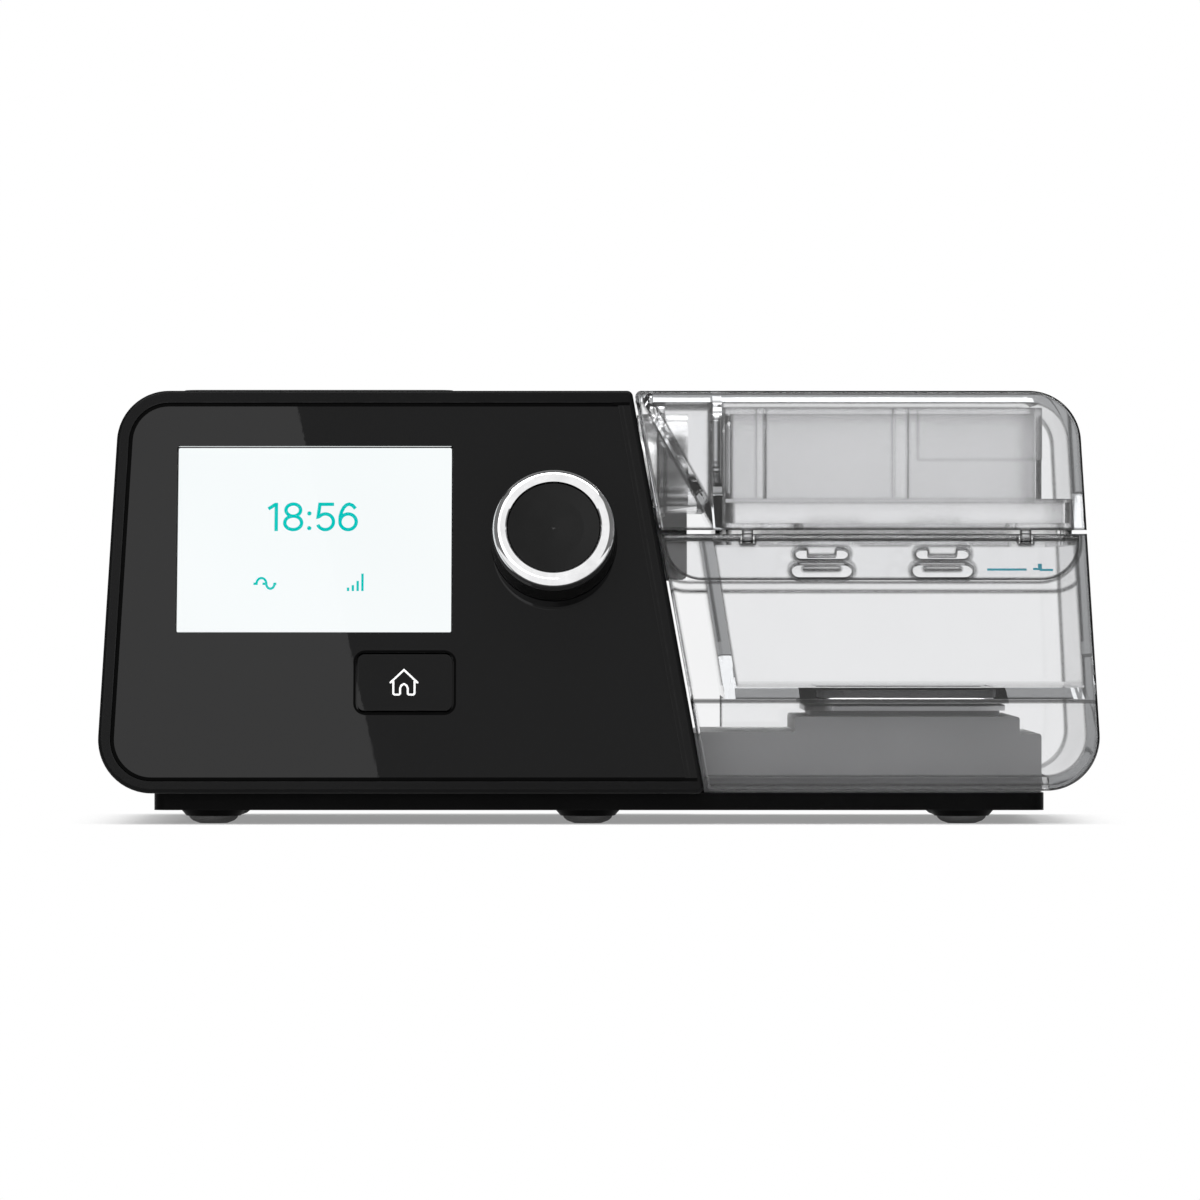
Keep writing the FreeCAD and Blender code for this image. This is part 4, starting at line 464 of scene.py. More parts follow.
knob_chrome = metal_of("knob_chrome", (0.93, 0.93, 0.935, 1), 0.05, 0.02, (1, 1, 1), 220.0, 0.02)
shaft_steel = metal_of("shaft_steel", (0.5, 0.5, 0.5, 1), 0.28, 0.08, (1, 1, 14), 300.0, 0.2)
screw_steel = metal_of("screw_steel", (0.06, 0.06, 0.065, 1), 0.4, 0.1, (1, 6, 1), 900.0, 0.3)
motor_steel = metal_of("motor_steel", (0.42, 0.42, 0.43, 1), 0.36, 0.1, (1, 9, 1), 260.0, 0.25)
cage_steel = metal_of("cage_steel", (0.58, 0.58, 0.57, 1), 0.3, 0.08, (8, 1, 1), 300.0, 0.2)
spring_steel = metal_of("spring_steel", (0.45, 0.44, 0.42, 1), 0.32, 0.1, (1, 12, 1), 260.0, 0.2)
heater_aluminium = metal_of("heater_aluminium", (0.5, 0.5, 0.51, 1), 0.34, 0.1, (1, 22, 1), 90.0, 0.35)
print("metals:", 7)

# %% [markdown]
# ## Opaque plastics, rubber and foam
# Inside parts are plain engineering plastics. Silicone seals scatter a little light, the foam is
# open-celled and the filter is a felt of fine fibres.

# %% Inner plastics
blower_plastic = finish_of("blower_plastic", grey(0.42, -0.02), 0.45, drift=0.07, depth=0.3, dust=0.3)
wheel_plastic = finish_of("wheel_plastic", grey(0.62), 0.4, drift=0.06, depth=0.15, dust=0.2)
card_blue = finish_of("card_blue", (0.02, 0.07, 0.24, 1), 0.4, drift=0.1, depth=0.15, wear_and_highlight=0.3)
key_grey = finish_of("key_grey", grey(0.28, 0.02), 0.42, drift=0.07, depth=0.2, smudge=0.2, wear_and_highlight=0.2)
deck_grey = finish_of("deck_grey", grey(0.235, 0.02), 0.4, drift=0.07, depth=0.2, smudge=0.3, dust=0.25, wear_and_highlight=0.2)
skirt_silicone = finish_of("skirt_silicone", grey(0.16, 0.02), 0.5, drift=0.08, grain=1500.0, depth=0.2, dust=0.3)
seal_grey = finish_of("seal_grey", grey(0.62, 0.01), 0.42, drift=0.05, grain=1300.0, depth=0.15, smudge=0.2,
                      Subsurface_Weight=0.25, Subsurface_Scale=0.002)
print("inner plastics:", 7)

# %% Foam and filter
def porous_of(name, color, dark, cell, depth, fibre):
    """Open foam from cells, or felt from stretched noise when `fibre` is given."""
    material, tree, shader = new_material(name, Roughness=0.95)
    where = object_place(tree)
    cells = add_node(tree, "ShaderNodeTexVoronoi", Vector=where, Scale=cell)
    pores = remap(tree, cells.outputs["Distance"], 0.1, 0.7)
    if fibre:
        mapping = add_node(tree, "ShaderNodeMapping", Vector=where, Scale=(1, 1, fibre), Rotation=(0.0, 0.6, 0.0))
        threads = remap(tree, noise(tree, mapping.outputs["Vector"], cell, 5.0, 0.7), 0.3, 0.7)
        pores = maths(tree, "MULTIPLY", threads, remap(tree, pores, 0.0, 1.0, 0.7, 1.0))
    fill(shader, Base_Color=mix_colour(tree, pores, dark, color), Normal=bump(tree, pores, 0.8, depth))
    return material


foam_grey = porous_of("foam_grey", grey(0.12), grey(0.02), 900.0, 0.0004, 0.0)
filter_white = porous_of("filter_white", grey(0.78), grey(0.45), 700.0, 0.0003, 5.0)
print("porous finishes:", 2)

# %% [markdown]
# ### Circuit board
# Solder mask over copper: tracks are the joints of a brick pattern, in rows 1.7 mm apart, and pads
# are the middles of cells, which show tin.

# %% Board
board_green, tree, shader = new_material("board_green")
where = object_place(tree)
tracks = add_node(tree, "ShaderNodeTexBrick", Vector=where, Scale=150.0, Mortar_Size=0.03,
                  Color1=(0.006, 0.07, 0.025, 1), Color2=(0.008, 0.085, 0.03, 1), Mortar=(0.02, 0.16, 0.06, 1))
pads = add_node(tree, "ShaderNodeTexVoronoi", Vector=where, Scale=420.0)
tinned = remap(tree, pads.outputs["Distance"], 0.16, 0.12)
fill(shader, Base_Color=mix_colour(tree, tinned, tracks.outputs["Color"], (0.6, 0.6, 0.58, 1)),
     Roughness=remap(tree, tinned, 0.0, 1.0, 0.32, 0.18), Normal=bump(tree, tracks.outputs["Fac"], 0.3, 0.00004))
print("board nodes:", len(tree.nodes))

# %% [markdown]
# ## Clear and tinted plastic
# The chamber is clear polycarbonate with walls of about 3 mm, so what you see of it is refraction
# at its edges. Moulding leaves a very slow ripple, and washing leaves faint marks: both go into the
# normal and the roughness. Transmission and index stay plain constants.

# %% Clear plastic maker
BAND_SOFT = 0.0002           # width over which a band fades out


def band(tree, where, axis, place, half, inside=1.0, outside=0.0):
    """Number that is `inside` within a slice across one Object axis, and `outside` elsewhere."""
    parted = add_node(tree, "ShaderNodeSeparateXYZ", Vector=where)
    away = maths(tree, "ABSOLUTE", maths(tree, "SUBTRACT", parted.outputs[axis], place))
    return remap(tree, away, half, half + BAND_SOFT, inside, outside)


def clear_of(name, color, roughness, ripple=0.15, frost=0.0, density=14.0, edge=0.97, smudge=0.12,
             painted_bands=(), calm=None, ior=1.49, **constants):
    """Transparent plastic; `frost` is a fine scattering grain, `density` darkens long paths, `edge` its painted dark
    edge lines.

    The painted bands are (slices, grey, amount), dark ones painted shade and pale ones painted highlights, each
    slice (axis, place, half width); `calm` is one with fainter lines.
    """
    material, tree, shader = new_material(name, Transmission_Weight=1.0, IOR=ior, **constants)
    depths = add_node(tree, "ShaderNodeVolumeAbsorption", Color=(0.3, 0.31, 0.32, 1), Density=density)
    fill(tree.nodes["Material Output"], Volume=depths.outputs["Volume"])
    where = object_place(tree)
    cloud = remap(tree, noise(tree, where, 30.0, 2.0), 0.3, 0.7)
    paler = tuple(min(1.0, part * 1.02) for part in color[:3]) + (1,)
    # Painted shade: where the surface turns edge-on to the view its colour goes nearly black, drawing the dark
    # outlines that refraction gives clear walls.
    grazing = add_node(tree, "ShaderNodeLayerWeight", Blend=0.5)
    painted_grazing_shade = remap(tree, grazing.outputs["Facing"], 0.62, 0.95, 0.0, 0.97)
    body = mix_colour(tree, painted_grazing_shade, mix_colour(tree, cloud, color, paler), (0.04, 0.04, 0.042, 1))
    for slices, shade, amount in painted_bands:
        for cut in slices:
            amount = maths(tree, "MULTIPLY", band(tree, where, *cut), amount)
        body = mix_colour(tree, amount, body, grey(shade))
    amount = band(tree, where, *calm, edge * 0.4, edge) if calm else edge
    outlined = use_group(tree, outlines, Color=body, Amount=amount).outputs["Color"]
    marks = use_group(tree, handled, Color=outlined, Roughness=roughness, Smudge=smudge, Dust=0.0).outputs
    slow = bump(tree, noise(tree, where, 22.0, 1.0), ripple, 0.0004)
    fill(shader, Base_Color=marks["Color"], Roughness=marks["Roughness"],
         Normal=bump(tree, noise(tree, where, 2600.0, 2.0), frost, 0.00003, slow))
    return material


print("clear plastic maker ready")

# %% [markdown]
# The lid's top rim and the foot of the tub's floor trap the light that enters them, so each gets a painted
# dark band of shade. Lines round the hole in the floor are kept faint, and the baffle's two ribs get a painted
# highlight that makes them paler.

# %% Clear plastics
RIM_BAND, FLOOR_BAND, FLOOR_SLAB = 0.1145, 0.0324, 0.0343      # heights
BAND_HALF, SLAB_HALF = 0.0004, 0.002                           # half widths
BAFFLE_RIBS = ((0.0434, 0.0010), (0.0806, 0.0011))             # places across and half widths
RIB_DEPTH = ("Y", -0.0445, 0.0018)                             # slice that holds the ribs
# The bands at the lid's rim and the floor's foot are painted shade.
clear_plastic = clear_of("clear_plastic", (0.91, 0.912, 0.918, 1), 0.012, calm=("Z", FLOOR_SLAB, SLAB_HALF),
                         painted_bands=[([("Z", height, BAND_HALF)], 0.03, 0.85) for height in (RIM_BAND, FLOOR_BAND)])
display_glass = clear_of("display_glass", (0.99, 0.995, 0.995, 1), 0.001, ripple=0.01, density=2.0, edge=0.0,
                         smudge=0.01, ior=1.5, Specular_Tint=grey(0.08))
liner_pale = clear_of("liner_pale", (0.995, 0.995, 1.0, 1), 0.14, frost=0.3, density=0.3, edge=0.25)
# Painted highlight: a white band down the front of each of the baffle's ribs.
baffle_grey = clear_of("baffle_grey", (0.845, 0.845, 0.85, 1), 0.16, frost=0.3, density=2.0, edge=0.3,
                       painted_bands=[([("X", place, half), RIB_DEPTH], 1.0, 1.0) for place, half in BAFFLE_RIBS])
seal_clear = clear_of("seal_clear", grey(0.98), 0.12, frost=0.3, density=0.5, edge=0.1, ior=1.41)
print("clear finishes:", 5)

# %% [markdown]
# ## Dress the frame
# Each CAD node keeps its mesh; only the material in its slots changes.

# %% Assign finishes
FINISH = {
    housing_black: ["main_housing", "top_button"],
    rear_black: ["rear_cover", "filter_cover", "outlet_spigot"],
    base_black: ["base_plate"],
    panel_black: ["front_panel", "home_button"],
    knob_black: ["knob_skirt", "knob_cap"],
    knob_chrome: ["knob_ring"],
    switch_black: ["top_switch", "home_switch", "rotary_encoder", "dc_inlet"],
    display_dark: ["display_module"],
    display_glass: ["display_lens"],
    foot_rubber: ["feet"],
    pad_rubber: ["blower_pads"],
    shaft_steel: ["knob_shaft", "encoder_plunger", "hinge_pin", "latch_pin"],
    screw_steel: ["rear_screws"],
    motor_steel: ["blower_motor"],
    cage_steel: ["card_reader"],
    spring_steel: ["heater_spring"],
    heater_aluminium: ["heater_plate", "tub_heat_plate"],
    blower_plastic: ["blower_case_front", "blower_case_rear", "blower_cradle", "blower_duct", "return_duct"],
    wheel_plastic: ["impeller"],
    card_blue: ["memory_card"],
    key_grey: ["dock_key"],
    deck_grey: ["heater_deck"],
    skirt_silicone: ["heater_skirt"],
    seal_grey: ["tub_plate_seal"],
    seal_clear: ["lid_port_seals", "lid_gasket"],
    foam_grey: ["silencer_foam"],
    filter_white: ["air_filter"],
    board_green: ["main_board"],
    clear_plastic: ["tub_shell", "lid_shell", "lid_latch"],
    liner_pale: ["lid_liner"],
    baffle_grey: ["air_baffle"],
}
dressed = set()
for material, names in FINISH.items():
    for name in names:
        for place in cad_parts[name].material_slots:
            place.material = material
        dressed.add(name)
print("dressed:", len(dressed), "left:", sorted(set(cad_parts) - dressed))

# %% [markdown]
# ## Display
# The picture is a thin glowing plate on the display module, just under the cover glass. Its glow is
# almost even: the pixel grid and a slow change of tone keep it from looking like paper.

# %% Glow materials
def glow_of(name, color, grid):
    """Self-lit surface; `grid` is the contrast of a 0.2 mm pixel grid."""
    material, tree, shader = new_material(name, Base_Color=grey(0.0), Specular_IOR_Level=0.0, Emission_Strength=1.0)
    where = object_place(tree)
    cloud = remap(tree, noise(tree, where, 18.0, 1.0), 0.3, 0.7, 0.985, 1.0)
    flat_on = add_node(tree, "ShaderNodeMapping", Vector=where, Rotation=(FACE_LEAN - math.radians(90), 0, 0))
    pixels = add_node(tree, "ShaderNodeTexBrick", Vector=flat_on.outputs["Vector"], Scale=1000.0, Brick_Width=0.2,
                      Row_Height=0.2, Mortar_Size=0.02, Color1=grey(1), Color2=grey(1), Mortar=grey(1 - grid))
    pixels.offset = 0.0
    toned = mix_colour(tree, 1.0, color, cloud, "MULTIPLY")
    fill(shader, Emission_Color=mix_colour(tree, 1.0, toned, pixels.outputs["Color"], "MULTIPLY"),
         Roughness=remap(tree, cloud, 0.98, 1.0, 0.35, 0.45))
    return material


screen_glow = glow_of("screen_glow", (0.955, 0.99, 0.995, 1), 0.04)
teal_glow = glow_of("teal_glow", (0.0, 0.57, 0.53, 1), 0.02)

LEFT, RIGHT, LOW, HIGH = -112.05, -39.25, 44.65, 95.95         # picture's edges on the face
PICTURE_BACK, PICTURE, INK = -1.85, -1.76, -1.71               # layers, out of the face


def show(mesh, material=teal_glow):
    """Put a mesh on the display as a piece of the same name."""
    add_piece(mesh.name, mesh, material, "main")


screen_outline = rounded_outline((LEFT + RIGHT) / 2, (LOW + HIGH) / 2, RIGHT - LEFT, HIGH - LOW, 0.5)
show(plate_mesh("screen_picture", [screen_outline], PICTURE_BACK, PICTURE), screen_glow)
print("screen:", RIGHT - LEFT, "x", round(HIGH - LOW, 2), "mm")

# %% [markdown]
# ### Digits
# The clock is drawn with pen strokes: each digit is one or two lines or parts of ellipses, all of
# one width, so it stays sharp from any distance and needs no font file.

# %% Draw the clock
def arc(x, v, rx, rv, start, stop, steps=28):
    """Points on part of an ellipse, angles in degrees."""
    angles = [math.radians(start + (stop - start) * i / steps) for i in range(steps + 1)]
    return [(x + rx * math.cos(angle), v + rv * math.sin(angle)) for angle in angles]


def loop(x, v, rx, rv, steps=36):
    return arc(x, v, rx, rv, 0, 360, steps)[:-1]


def dot(x, v, radius):
    return loop(x, v, radius, radius, 20)


PEN = 0.92
one = [([(-88.0, 78.95), (-86.1, 80.25)], False), ([(-85.9, 80.65), (-85.9, 72.8)], False)]
eight = [(loop(-81.38, 78.63, 1.95, 1.68), True), (loop(-81.38, 75.08, 2.25, 1.88), True)]
bowl = arc(-72.83, 75.38, 2.16, 2.18, 138, -158)
five = [([(-70.55, 80.25), (-74.3, 80.25), (-74.75, 76.75)] + bowl, False)]
six_top = [(-68.93, 75.6), (-68.87, 76.87), (-68.5, 78.25), (-67.94, 79.36), (-67.27, 80.05), (-66.51, 80.3),
           (-65.61, 79.95), (-64.85, 79.05)]
six = [(loop(-66.77, 75.38, 2.16, 2.18), True), (six_top, False)]
strokes = one + eight + five + six
show(stroke_mesh("clock_digits", strokes, PEN, PICTURE, INK))
show(plate_mesh("clock_colon", [dot(-77.1, v, 0.58) for v in (77.7, 73.6)], PICTURE, INK))
print("strokes in the clock:", len(strokes))

# %% [markdown]
# ### Breath icon
# A level line that swells once up and once down, the usual sign for a breath.

# %% Draw the breath icon
BREATH_V = 58.15
swell = arc(-89.68, BREATH_V, 1.3, 1.6, 180, 0, 16) + arc(-87.3, BREATH_V, 1.08, 1.35, -180, 0, 14)[1:]
breath = [([(-91.8, BREATH_V), (-90.98, BREATH_V)] + swell[1:-1] + [(-86.2, BREATH_V), (-85.7, BREATH_V)], False),
          ([(-89.4, BREATH_V), (-88.3, BREATH_V)], False)]
show(stroke_mesh("breath_icon", breath, 0.62, PICTURE, INK))
print("breath icon strokes:", len(breath))

# %% [markdown]
# ### Rows made by Geometry Nodes
# The signal bars repeat one box, so a small node tree makes them: a line of points, a box on each,
# and a height that grows along the row. Count, pitch and growth are inputs. The result is turned into
# a plain mesh before it joins the frame.

# %% Row tree
row_tree = bpy.data.node_groups.new("Growing Row", "GeometryNodeTree")
for label, kind, value in (("Count", "NodeSocketInt", 4), ("Pitch", NUMBER, 1.0), ("Width", NUMBER, 0.5),
                           ("First", NUMBER, 1.0), ("Growth", NUMBER, 1.5), ("Thickness", NUMBER, 0.1),
                           ("Material", "NodeSocketMaterial", None)):
    socket = row_tree.interface.new_socket(label, in_out="INPUT", socket_type=kind)
    if value is not None:
        socket.default_value = value
row_tree.interface.new_socket("Geometry", in_out="OUTPUT", socket_type="NodeSocketGeometry")
given = row_tree.nodes.new("NodeGroupInput").outputs
out = row_tree.nodes.new("NodeGroupOutput")
step = add_node(row_tree, "ShaderNodeCombineXYZ", X=given["Pitch"])
row_line = add_node(row_tree, "GeometryNodeMeshLine", Count=given["Count"], Offset=step.outputs["Vector"])
index = add_node(row_tree, "GeometryNodeInputIndex")
height = maths(row_tree, "MULTIPLY", given["First"],
               maths(row_tree, "POWER", given["Growth"], index.outputs["Index"]))
size = add_node(row_tree, "ShaderNodeCombineXYZ", X=given["Width"], Y=height, Z=given["Thickness"])
lift = add_node(row_tree, "ShaderNodeCombineXYZ", Y=maths(row_tree, "MULTIPLY", height, 0.5))
moved = add_node(row_tree, "GeometryNodeSetPosition", Geometry=row_line.outputs["Mesh"],
                 Offset=lift.outputs["Vector"])
cube = add_node(row_tree, "GeometryNodeMeshCube")
placed = add_node(row_tree, "GeometryNodeInstanceOnPoints", Points=moved.outputs["Geometry"],
                  Instance=cube.outputs["Mesh"], Scale=size.outputs["Vector"])
real = add_node(row_tree, "GeometryNodeRealizeInstances", Geometry=placed.outputs["Instances"])
coloured = add_node(row_tree, "GeometryNodeSetMaterial", Geometry=real.outputs["Geometry"],
                    Material=given["Material"])
fill(out, Geometry=coloured.outputs["Geometry"])
print("row tree:", len(row_tree.nodes), "nodes")

# %% [markdown]
# A piece needs a plain mesh, so the tree is evaluated on an empty carrier and its result is copied.

# %% Bake a tree
def grown(name, node_tree, material, matrix, **values):
    """Evaluate a tree with these inputs and return the mesh, placed by the matrix."""
    carrier = bpy.data.objects.new(name + "_carrier", bpy.data.meshes.new(name + "_carrier"))
    bpy.context.scene.collection.objects.link(carrier)
    modifier = carrier.modifiers.new("grow", "NODES")
    modifier.node_group = node_tree
    for item in node_tree.interface.items_tree:
        if item.in_out == "INPUT":
            label = item.name.replace(" ", "_")
            if label == "Material":
                modifier[item.identifier] = material
            elif label in values:
                modifier[item.identifier] = values[label]
    bpy.context.view_layer.update()
    evaluated = carrier.evaluated_get(bpy.context.evaluated_depsgraph_get())
    mesh = bpy.data.meshes.new_from_object(evaluated)
    carrier.modifiers.clear()
    bpy.data.objects.remove(carrier)
    mesh.transform(matrix)
    mesh.name = name
    return mesh


def on_face(x, v, n):
    """Matrix for a mesh in metres that starts at a place on the face."""
    return FACE_MATRIX @ Matrix.Translation((x * MM, v * MM, n * MM))


bars = grown("signal_bars", row_tree, teal_glow, on_face(-66.65, 56.15, -1.735), Count=4, Pitch=1.27 * MM,
             Width=0.62 * MM, First=0.95 * MM, Growth=1.72, Thickness=0.05 * MM)
show(bars)
print("signal bars:", len(bars.polygons), "faces")

# %% [markdown]
# ## Home symbol
# A house in thin white ink on the home key, with a faint painted glow that keeps it bright.
# It rides on the key, so it sinks when the key is pressed.

# %% Ink and house
# The ink's faint emission is a painted glow, not a lamp.
ink_white = finish_of("ink_white", (0.88, 0.88, 0.88, 1), 0.4, drift=0.02, grain=1800.0, depth=0.08,
                      Emission_Color=(1, 1, 1, 1), Emission_Strength=0.25)
roof = ([(-55.35, 30.4), (-51.64, 34.0), (-47.93, 30.4)], False)
wall_left = [(-54.45, 31.0), (-54.45, 27.5), (-54.15, 27.2), (-52.95, 27.2), (-52.65, 27.5)]
door = [(-52.65, 29.0), (-52.35, 29.7), (-51.64, 30.15), (-50.93, 29.7), (-50.63, 29.0)]
wall_right = [(-50.63, 27.5), (-50.33, 27.2), (-49.13, 27.2), (-48.83, 27.5), (-48.83, 31.0)]
walls = wall_left + door + wall_right
house = stroke_mesh("house_symbol", [roof, (walls, False)], 0.5, -0.11, -0.05)
add_piece("house_symbol", house, ink_white, "home_button")
print("house points:", len(walls))

# %% [markdown]
# ## Painted shade in the grooves
# A thin near-black strip lies in the groove round the panel and round the home button: painted shade
# where the groove's walls are in shadow, drawing the dark lines that part the pieces. The panel's
# outline is read from its own mesh: its outermost points, taken round once.
# own mesh: its outermost points, taken round once.

# %% Outline of the panel
def turn_round(points):
    """Outermost points of a set, anticlockwise."""
    points = sorted(set(points))
    sides = []
    for run in (points, points[::-1]):
        side = []
        for point in run:
            while len(side) > 1 and ((side[-1][0] - side[-2][0]) * (point[1] - side[-2][1])
                                     - (side[-1][1] - side[-2][1]) * (point[0] - side[-2][0])) <= 1e-4:
                side.pop()
            side.append(point)
        sides += side[:-1]
    return sides


flatten = FACE_MATRIX.inverted()
spots = [flatten @ vertex.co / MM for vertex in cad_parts["front_panel"].data.vertices]
edge = turn_round([(round(spot.x, 2), round(spot.y, 2)) for spot in spots if spot.z > -0.3])
print("panel outline points:", len(edge))

# %% Groove shade strips
PANEL_FACE = -0.25           # front of the panel, out of the casing's face
ring = rounded_outline(-51.45, 30.55, 26.6, 17.2, 2.9, 8)
for name, outline, width in (("panel_gasket", edge, 0.9), ("home_gasket", ring, 0.6)):
    shade_strip = stroke_mesh(name, [(outline, True)], width, PANEL_FACE + 0.01, PANEL_FACE + 0.06)
    add_piece(name, shade_strip, gasket_black, "main")
    print(name, len(shade_strip.polygons), "faces")

# %% [markdown]
# ## The panel's wing
# On the chamber side the gloss panel runs on to the seam, so the casing's rim doesn't show there. A
# thin wing of the same plastic rises a quarter of a millimetre and covers the rim, and the strips of
# painted shade above and below run out to the seam with it.

# %% Wing along the seam
low_end = max(edge, key=lambda point: point[0])
high_end = max((point for point in edge if point[1] > 105), key=lambda point: point[0])
WING_V = (min(point[1] for point in edge), max(point[1] for point in edge))
RIM_FLAT = 2.6               # from the panel's edge to where the rim's round starts


def seam(v):
    """The panel's edge on the chamber side at a height on the face."""
    return low_end[0] + (high_end[0] - low_end[0]) * (v - low_end[1]) / (high_end[1] - low_end[1])


def build_wing(work):
    section = [(-0.55, -0.245), (-0.55, 0.03), (RIM_FLAT, 0.03), (RIM_FLAT, 0.005), (0.62, 0.005), (0.5, -0.245)]
    ends = [[work.verts.new(Vector((seam(v) + x, v, n)) * MM) for x, n in section] for v in WING_V]
    work.faces.new(ends[0])
    work.faces.new(ends[1][::-1])
    for i in range(len(section)):
        j = (i + 1) % len(section)
        work.faces.new((ends[0][i], ends[1][i], ends[1][j], ends[0][j]))
    bmesh.ops.recalc_face_normals(work, faces=work.faces)


add_piece("panel_wing", mesh_from(build_wing, "panel_wing", FACE_MATRIX), panel_black, "main")
# Painted shade: the groove lines above and below, carried on to the seam.
runs = [([(seam(v) - 2.0, v + shift), (seam(v) + RIM_FLAT, v + shift)], False)
        for v, shift in zip(WING_V, (-0.2, 0.2))]
add_piece("joint_ends", stroke_mesh("joint_ends", runs, 0.9, 0.005, 0.035), gasket_black, "main")
print("wing height:", round(WING_V[1] - WING_V[0], 1), "mm")

# %% [markdown]
# ## Level mark
# A short line printed on the tub's front wall, behind the latch flap, shows how far to fill it. It
# belongs to the tub, so it travels with the chamber when that is pulled out.

# %% Print the level mark
mark_teal = finish_of("mark_teal", (0.0, 0.33, 0.44, 1), 0.35, drift=0.05, grain=1800.0, depth=0.1,
                      Specular_IOR_Level=0.0)
LEVEL_V = face_v(67.9)
TUB_WALL = -2.6              # front of the tub wall behind the flap, out of the face
level_line = ([(103.2, LEVEL_V), (113.7, LEVEL_V)], False)
pointer = ([(115.4, LEVEL_V + 0.15), (117.0, LEVEL_V + 0.15), (117.0, LEVEL_V + 1.3), (117.45, LEVEL_V + 1.3),
            (117.45, LEVEL_V - 0.1), (120.7, LEVEL_V - 0.1)], False)
mark = stroke_mesh("level_mark", [level_line, pointer], 0.6, TUB_WALL, TUB_WALL + 0.06)
add_piece("level_mark", mark, mark_teal, "chamber")
print("level mark height on the face:", round(LEVEL_V, 2), "mm")

# %% [markdown]
# ## Bead round the heating plate
# Where the tub floor meets its metal plate, a bead of silicone fills the corner. From the front it
# reads as the line under the water space.

# %% Lay the bead
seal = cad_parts["tub_plate_seal"]
corners = [seal.matrix_world @ Vector(corner) / MM for corner in seal.bound_box]
left, right = min(c.x for c in corners) + 4.0, max(c.x for c in corners) - 4.0
front, back = min(c.y for c in corners) + 4.0, max(c.y for c in corners) - 4.0
foot = min(c.z for c in corners)


def level_ring(grow):
    return rounded_outline((left + right) / 2, (front + back) / 2, right - left + 2 * grow, back - front + 2 * grow,
                           3.0 + grow)


outer, inner = level_ring(-0.05), level_ring(-1.3)
count = len(outer)
quads = [(outer[i], inner[i], inner[(i + 1) % count], outer[(i + 1) % count]) for i in range(count)]
bead = joined_plate("plate_bead", quads, foot + 0.02, foot + 2.9, Matrix.Identity(4))
add_piece("plate_bead", bead, deck_grey, "chamber")
print("bead:", round(right - left, 1), "by", round(back - front, 1), "mm, foot at", round(foot, 2))

# %% [markdown]
# ## Parts that give under the heater plate
# The plate floats: when the chamber slides on, it sinks 1.2 mm onto a silicone skirt and an arched
# leaf spring. Both shorten by just that much and stay on their foot. Each is a merged copy of its
# solid, shaded smooth, that takes the solid's place on the main body.


def springy_copy(name, node, material):
    """A copy of a solid, merged and shaded smooth, that rides on the main body in place of the solid."""
    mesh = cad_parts[node].data.copy()
    work = bmesh.new()
    work.from_mesh(mesh)
    bmesh.ops.remove_doubles(work, verts=work.verts, dist=1e-6)
    bmesh.ops.recalc_face_normals(work, faces=work.faces)
    work.to_mesh(mesh)
    work.free()
    piece = add_piece(name, mesh, material, "main", smooth=True)
    mesh.set_sharp_from_angle(angle=math.radians(30))
    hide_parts(node)
    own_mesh(piece)


springy_copy("skirt_ring", "heater_skirt", skirt_silicone)
springy_copy("leaf_spring", "heater_spring", spring_steel)

# %% [markdown]
# ## Stage
# A white table and a white surround. The surround is full white where it is seen directly, in gloss
# or through the clear plastic, and soft grey for the rest, so black plastic keeps its depth.

# %% Floor
def plain_plane(name, corners, material):
    mesh = bpy.data.meshes.new(name)
    mesh.from_pydata([Vector(corner) for corner in corners], [], [tuple(range(len(corners)))])
    mesh.materials.append(material)
    plane = bpy.data.objects.new(name, mesh)
    bpy.context.scene.collection.objects.link(plane)
    return plane


def seen_straight(tree):
    """One for rays from the camera, through clear parts or off gloss."""
    path = add_node(tree, "ShaderNodeLightPath").outputs
    return maths(tree, "MAXIMUM", path["Is Camera Ray"],
                 maths(tree, "MAXIMUM", path["Is Transmission Ray"], path["Is Glossy Ray"]))


floor_white, tree, shader = new_material("floor_white", Roughness=0.7, Specular_IOR_Level=0.2)
speckle = noise(tree, object_place(tree), 40.0, 3.0)
fill(shader, Base_Color=mix_colour(tree, speckle, grey(0.86), grey(0.88)))
# Painted shadow, partly real: ambient occlusion fades the white glow near the machine, so there the lit floor shows
# with its real shadow, darker than the open floor.
near = add_node(tree, "ShaderNodeAmbientOcclusion", Distance=0.02)
near.samples = 8
painted_shadow_fade = remap(tree, near.outputs["AO"], 0.2, 0.85, 0.3, 1.0)
both = add_node(tree, "ShaderNodeMixShader", Fac=maths(tree, "MULTIPLY", seen_straight(tree), painted_shadow_fade))
put(both.inputs[1], shader.outputs["BSDF"])
put(both.inputs[2], add_node(tree, "ShaderNodeEmission", Strength=1.0).outputs["Emission"])
fill(tree.nodes["Material Output"], Surface=both.outputs["Shader"])
floor = plain_plane("floor", [(-3, -3, 0), (3, -3, 0), (3, 3, 0), (-3, 3, 0)], floor_white)
print("floor:", floor.name)

# %% World
world = bpy.data.worlds.new("studio")
bpy.context.scene.world = world
world.use_nodes = True
tree = world.node_tree
fill(tree.nodes["Background"], Color=mix_colour(tree, seen_straight(tree), grey(0.5), grey(1)))
print("world ready")

# %% [markdown]
# ### Lights
# A wide soft box overhead, a fill from the left front and a strip behind that lights the clear
# walls. None of them is small, so shadows stay soft and close to the feet.

# %% Soft boxes
def soft_box(name, place, target, size, power):
    light = bpy.data.lights.new(name, "AREA")
    light.shape = "RECTANGLE"
    light.size, light.size_y = size
    light.energy = power
    holder = bpy.data.objects.new(name, light)
    holder.location = place
    holder.rotation_euler = (Vector(target) - Vector(place)).to_track_quat("-Z", "Y").to_euler()
    holder.visible_glossy = False
    bpy.context.scene.collection.objects.link(holder)
    return holder


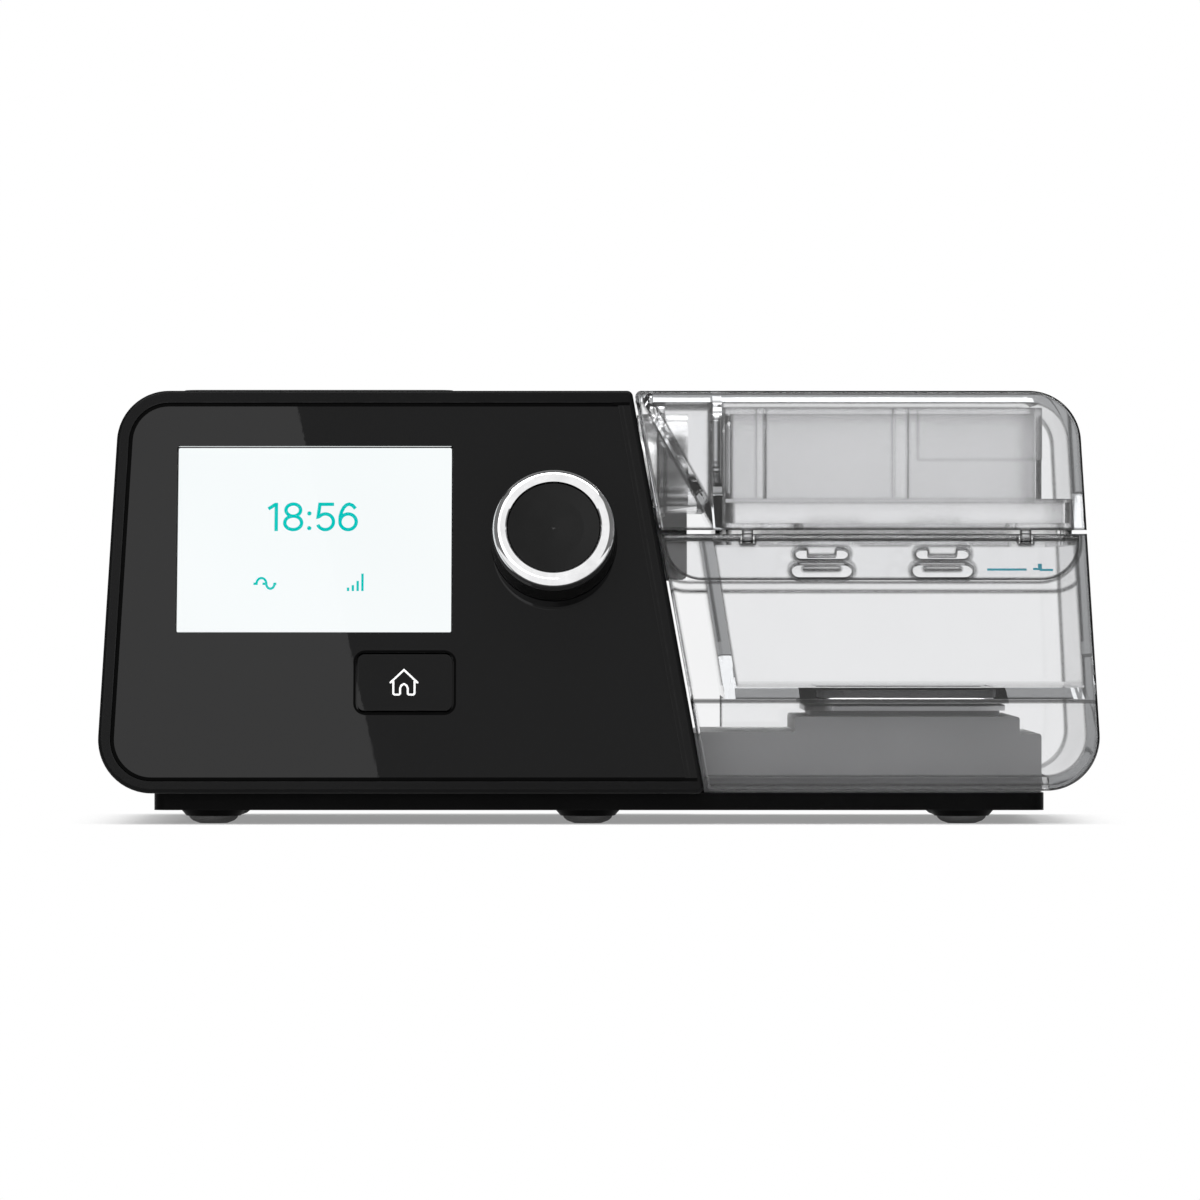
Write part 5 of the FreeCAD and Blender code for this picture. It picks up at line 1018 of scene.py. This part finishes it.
soft_box("overhead", (0.0, -0.1, 1.3), (0, 0, 0), (1.6, 1.2), 16.0)
soft_box("fill", (-0.9, -1.2, 0.7), (0, 0, 0.06), (0.9, 0.9), 5.0)
soft_box("back", (0.2, 1.3, 0.6), (0.05, 0, 0.06), (1.4, 0.8), 8.0)
print("lights:", 3)

# %% [markdown]
# ### Reflection card
# The gloss panel mirrors a white card above and in front of it. The card's straight edge is what
# draws the diagonal line between the panel's lighter and darker halves. Only gloss sees it.

# %% Card
def card_of(name, strength):
    material, tree, shader = new_material(name)
    tree.nodes.remove(shader)
    light = add_node(tree, "ShaderNodeEmission", Strength=strength)
    fill(tree.nodes["Material Output"], Surface=light.outputs["Emission"])
    return material


card_white = card_of("card_white", 2.9)
CAMERA_PLACE = Vector((0.27, -2718.0, 59.3)) * MM
CARD_FAR = 1.5


def gloss_plane(name, corners, material):
    """A stage plane that only glossy rays see."""
    plane = plain_plane(name, corners, material)
    for ray in ("camera", "diffuse", "transmission", "shadow", "volume_scatter"):
        setattr(plane, "visible_" + ray, False)


def mirrored_point(x, z):
    """Where the camera's line to a place on the panel goes after it is mirrored."""
    spot = face_point(x, face_v(z))
    ray = (spot - CAMERA_PLACE).normalized()
    bounced = ray - 2 * ray.dot(OUT_FACE) * OUT_FACE
    return spot + bounced * CARD_FAR


upper = mirrored_point(-80.7, 111.6)
lower = mirrored_point(-58.1, 12.1)
reach = (upper - lower).normalized() * 0.7
aside = Vector((-1.2, 0, 0))
gloss_plane("reflection_card", [lower - reach, upper + reach, upper + reach + aside, lower - reach + aside],
            card_white)
print("card edge from", [round(v, 3) for v in lower], "to", [round(v, 3) for v in upper])

# %% [markdown]
# ### Flags and strip
# Dark flags at both sides and overhead deepen the black casing in gloss, and a soft strip overhead
# draws one fine line of light along its rounded top edge.

# %% Flags
def level_rectangle(x, y, z):
    """Corners of a level rectangle that reaches x to both sides, between two y."""
    return [(-x, y[0], z), (x, y[0], z), (x, y[1], z), (-x, y[1], z)]


flag_dark = card_of("flag_dark", 0.18)
for name, x in (("left", -0.9), ("right", 0.9)):
    gloss_plane("flag_" + name, [(x, -0.9, -0.2), (x, 1.4, -0.2), (x, 1.4, 1.2), (x, -0.9, 1.2)], flag_dark)
gloss_plane("flag_top", level_rectangle(0.9, (-0.6, 1.4), 1.2), flag_dark)
gloss_plane("strip_top", level_rectangle(0.7, (-0.5, -0.2), 1.16), card_of("strip_soft", 8.0))
print("flags:", 3, "strip:", 1)

# %% [markdown]
# ## Camera
# The machine is seen level and straight on, from far enough away that its sides hardly converge.

# %% Camera
camera = bpy.data.objects.new("camera", bpy.data.cameras.new("camera"))
camera.data.lens = 300.0
camera.data.sensor_width = 36.0
camera.location = CAMERA_PLACE
camera.rotation_euler = (math.radians(90), 0, 0)
bpy.context.scene.collection.objects.link(camera)
bpy.context.scene.camera = camera
bpy.context.scene.view_settings.view_transform = "Standard"
print("camera height:", round(camera.location.z, 4))

# %% [markdown]
# ## Sizes
# The dressed machine must stay in the box of its CAD frame.

# %% End
print("scene done")
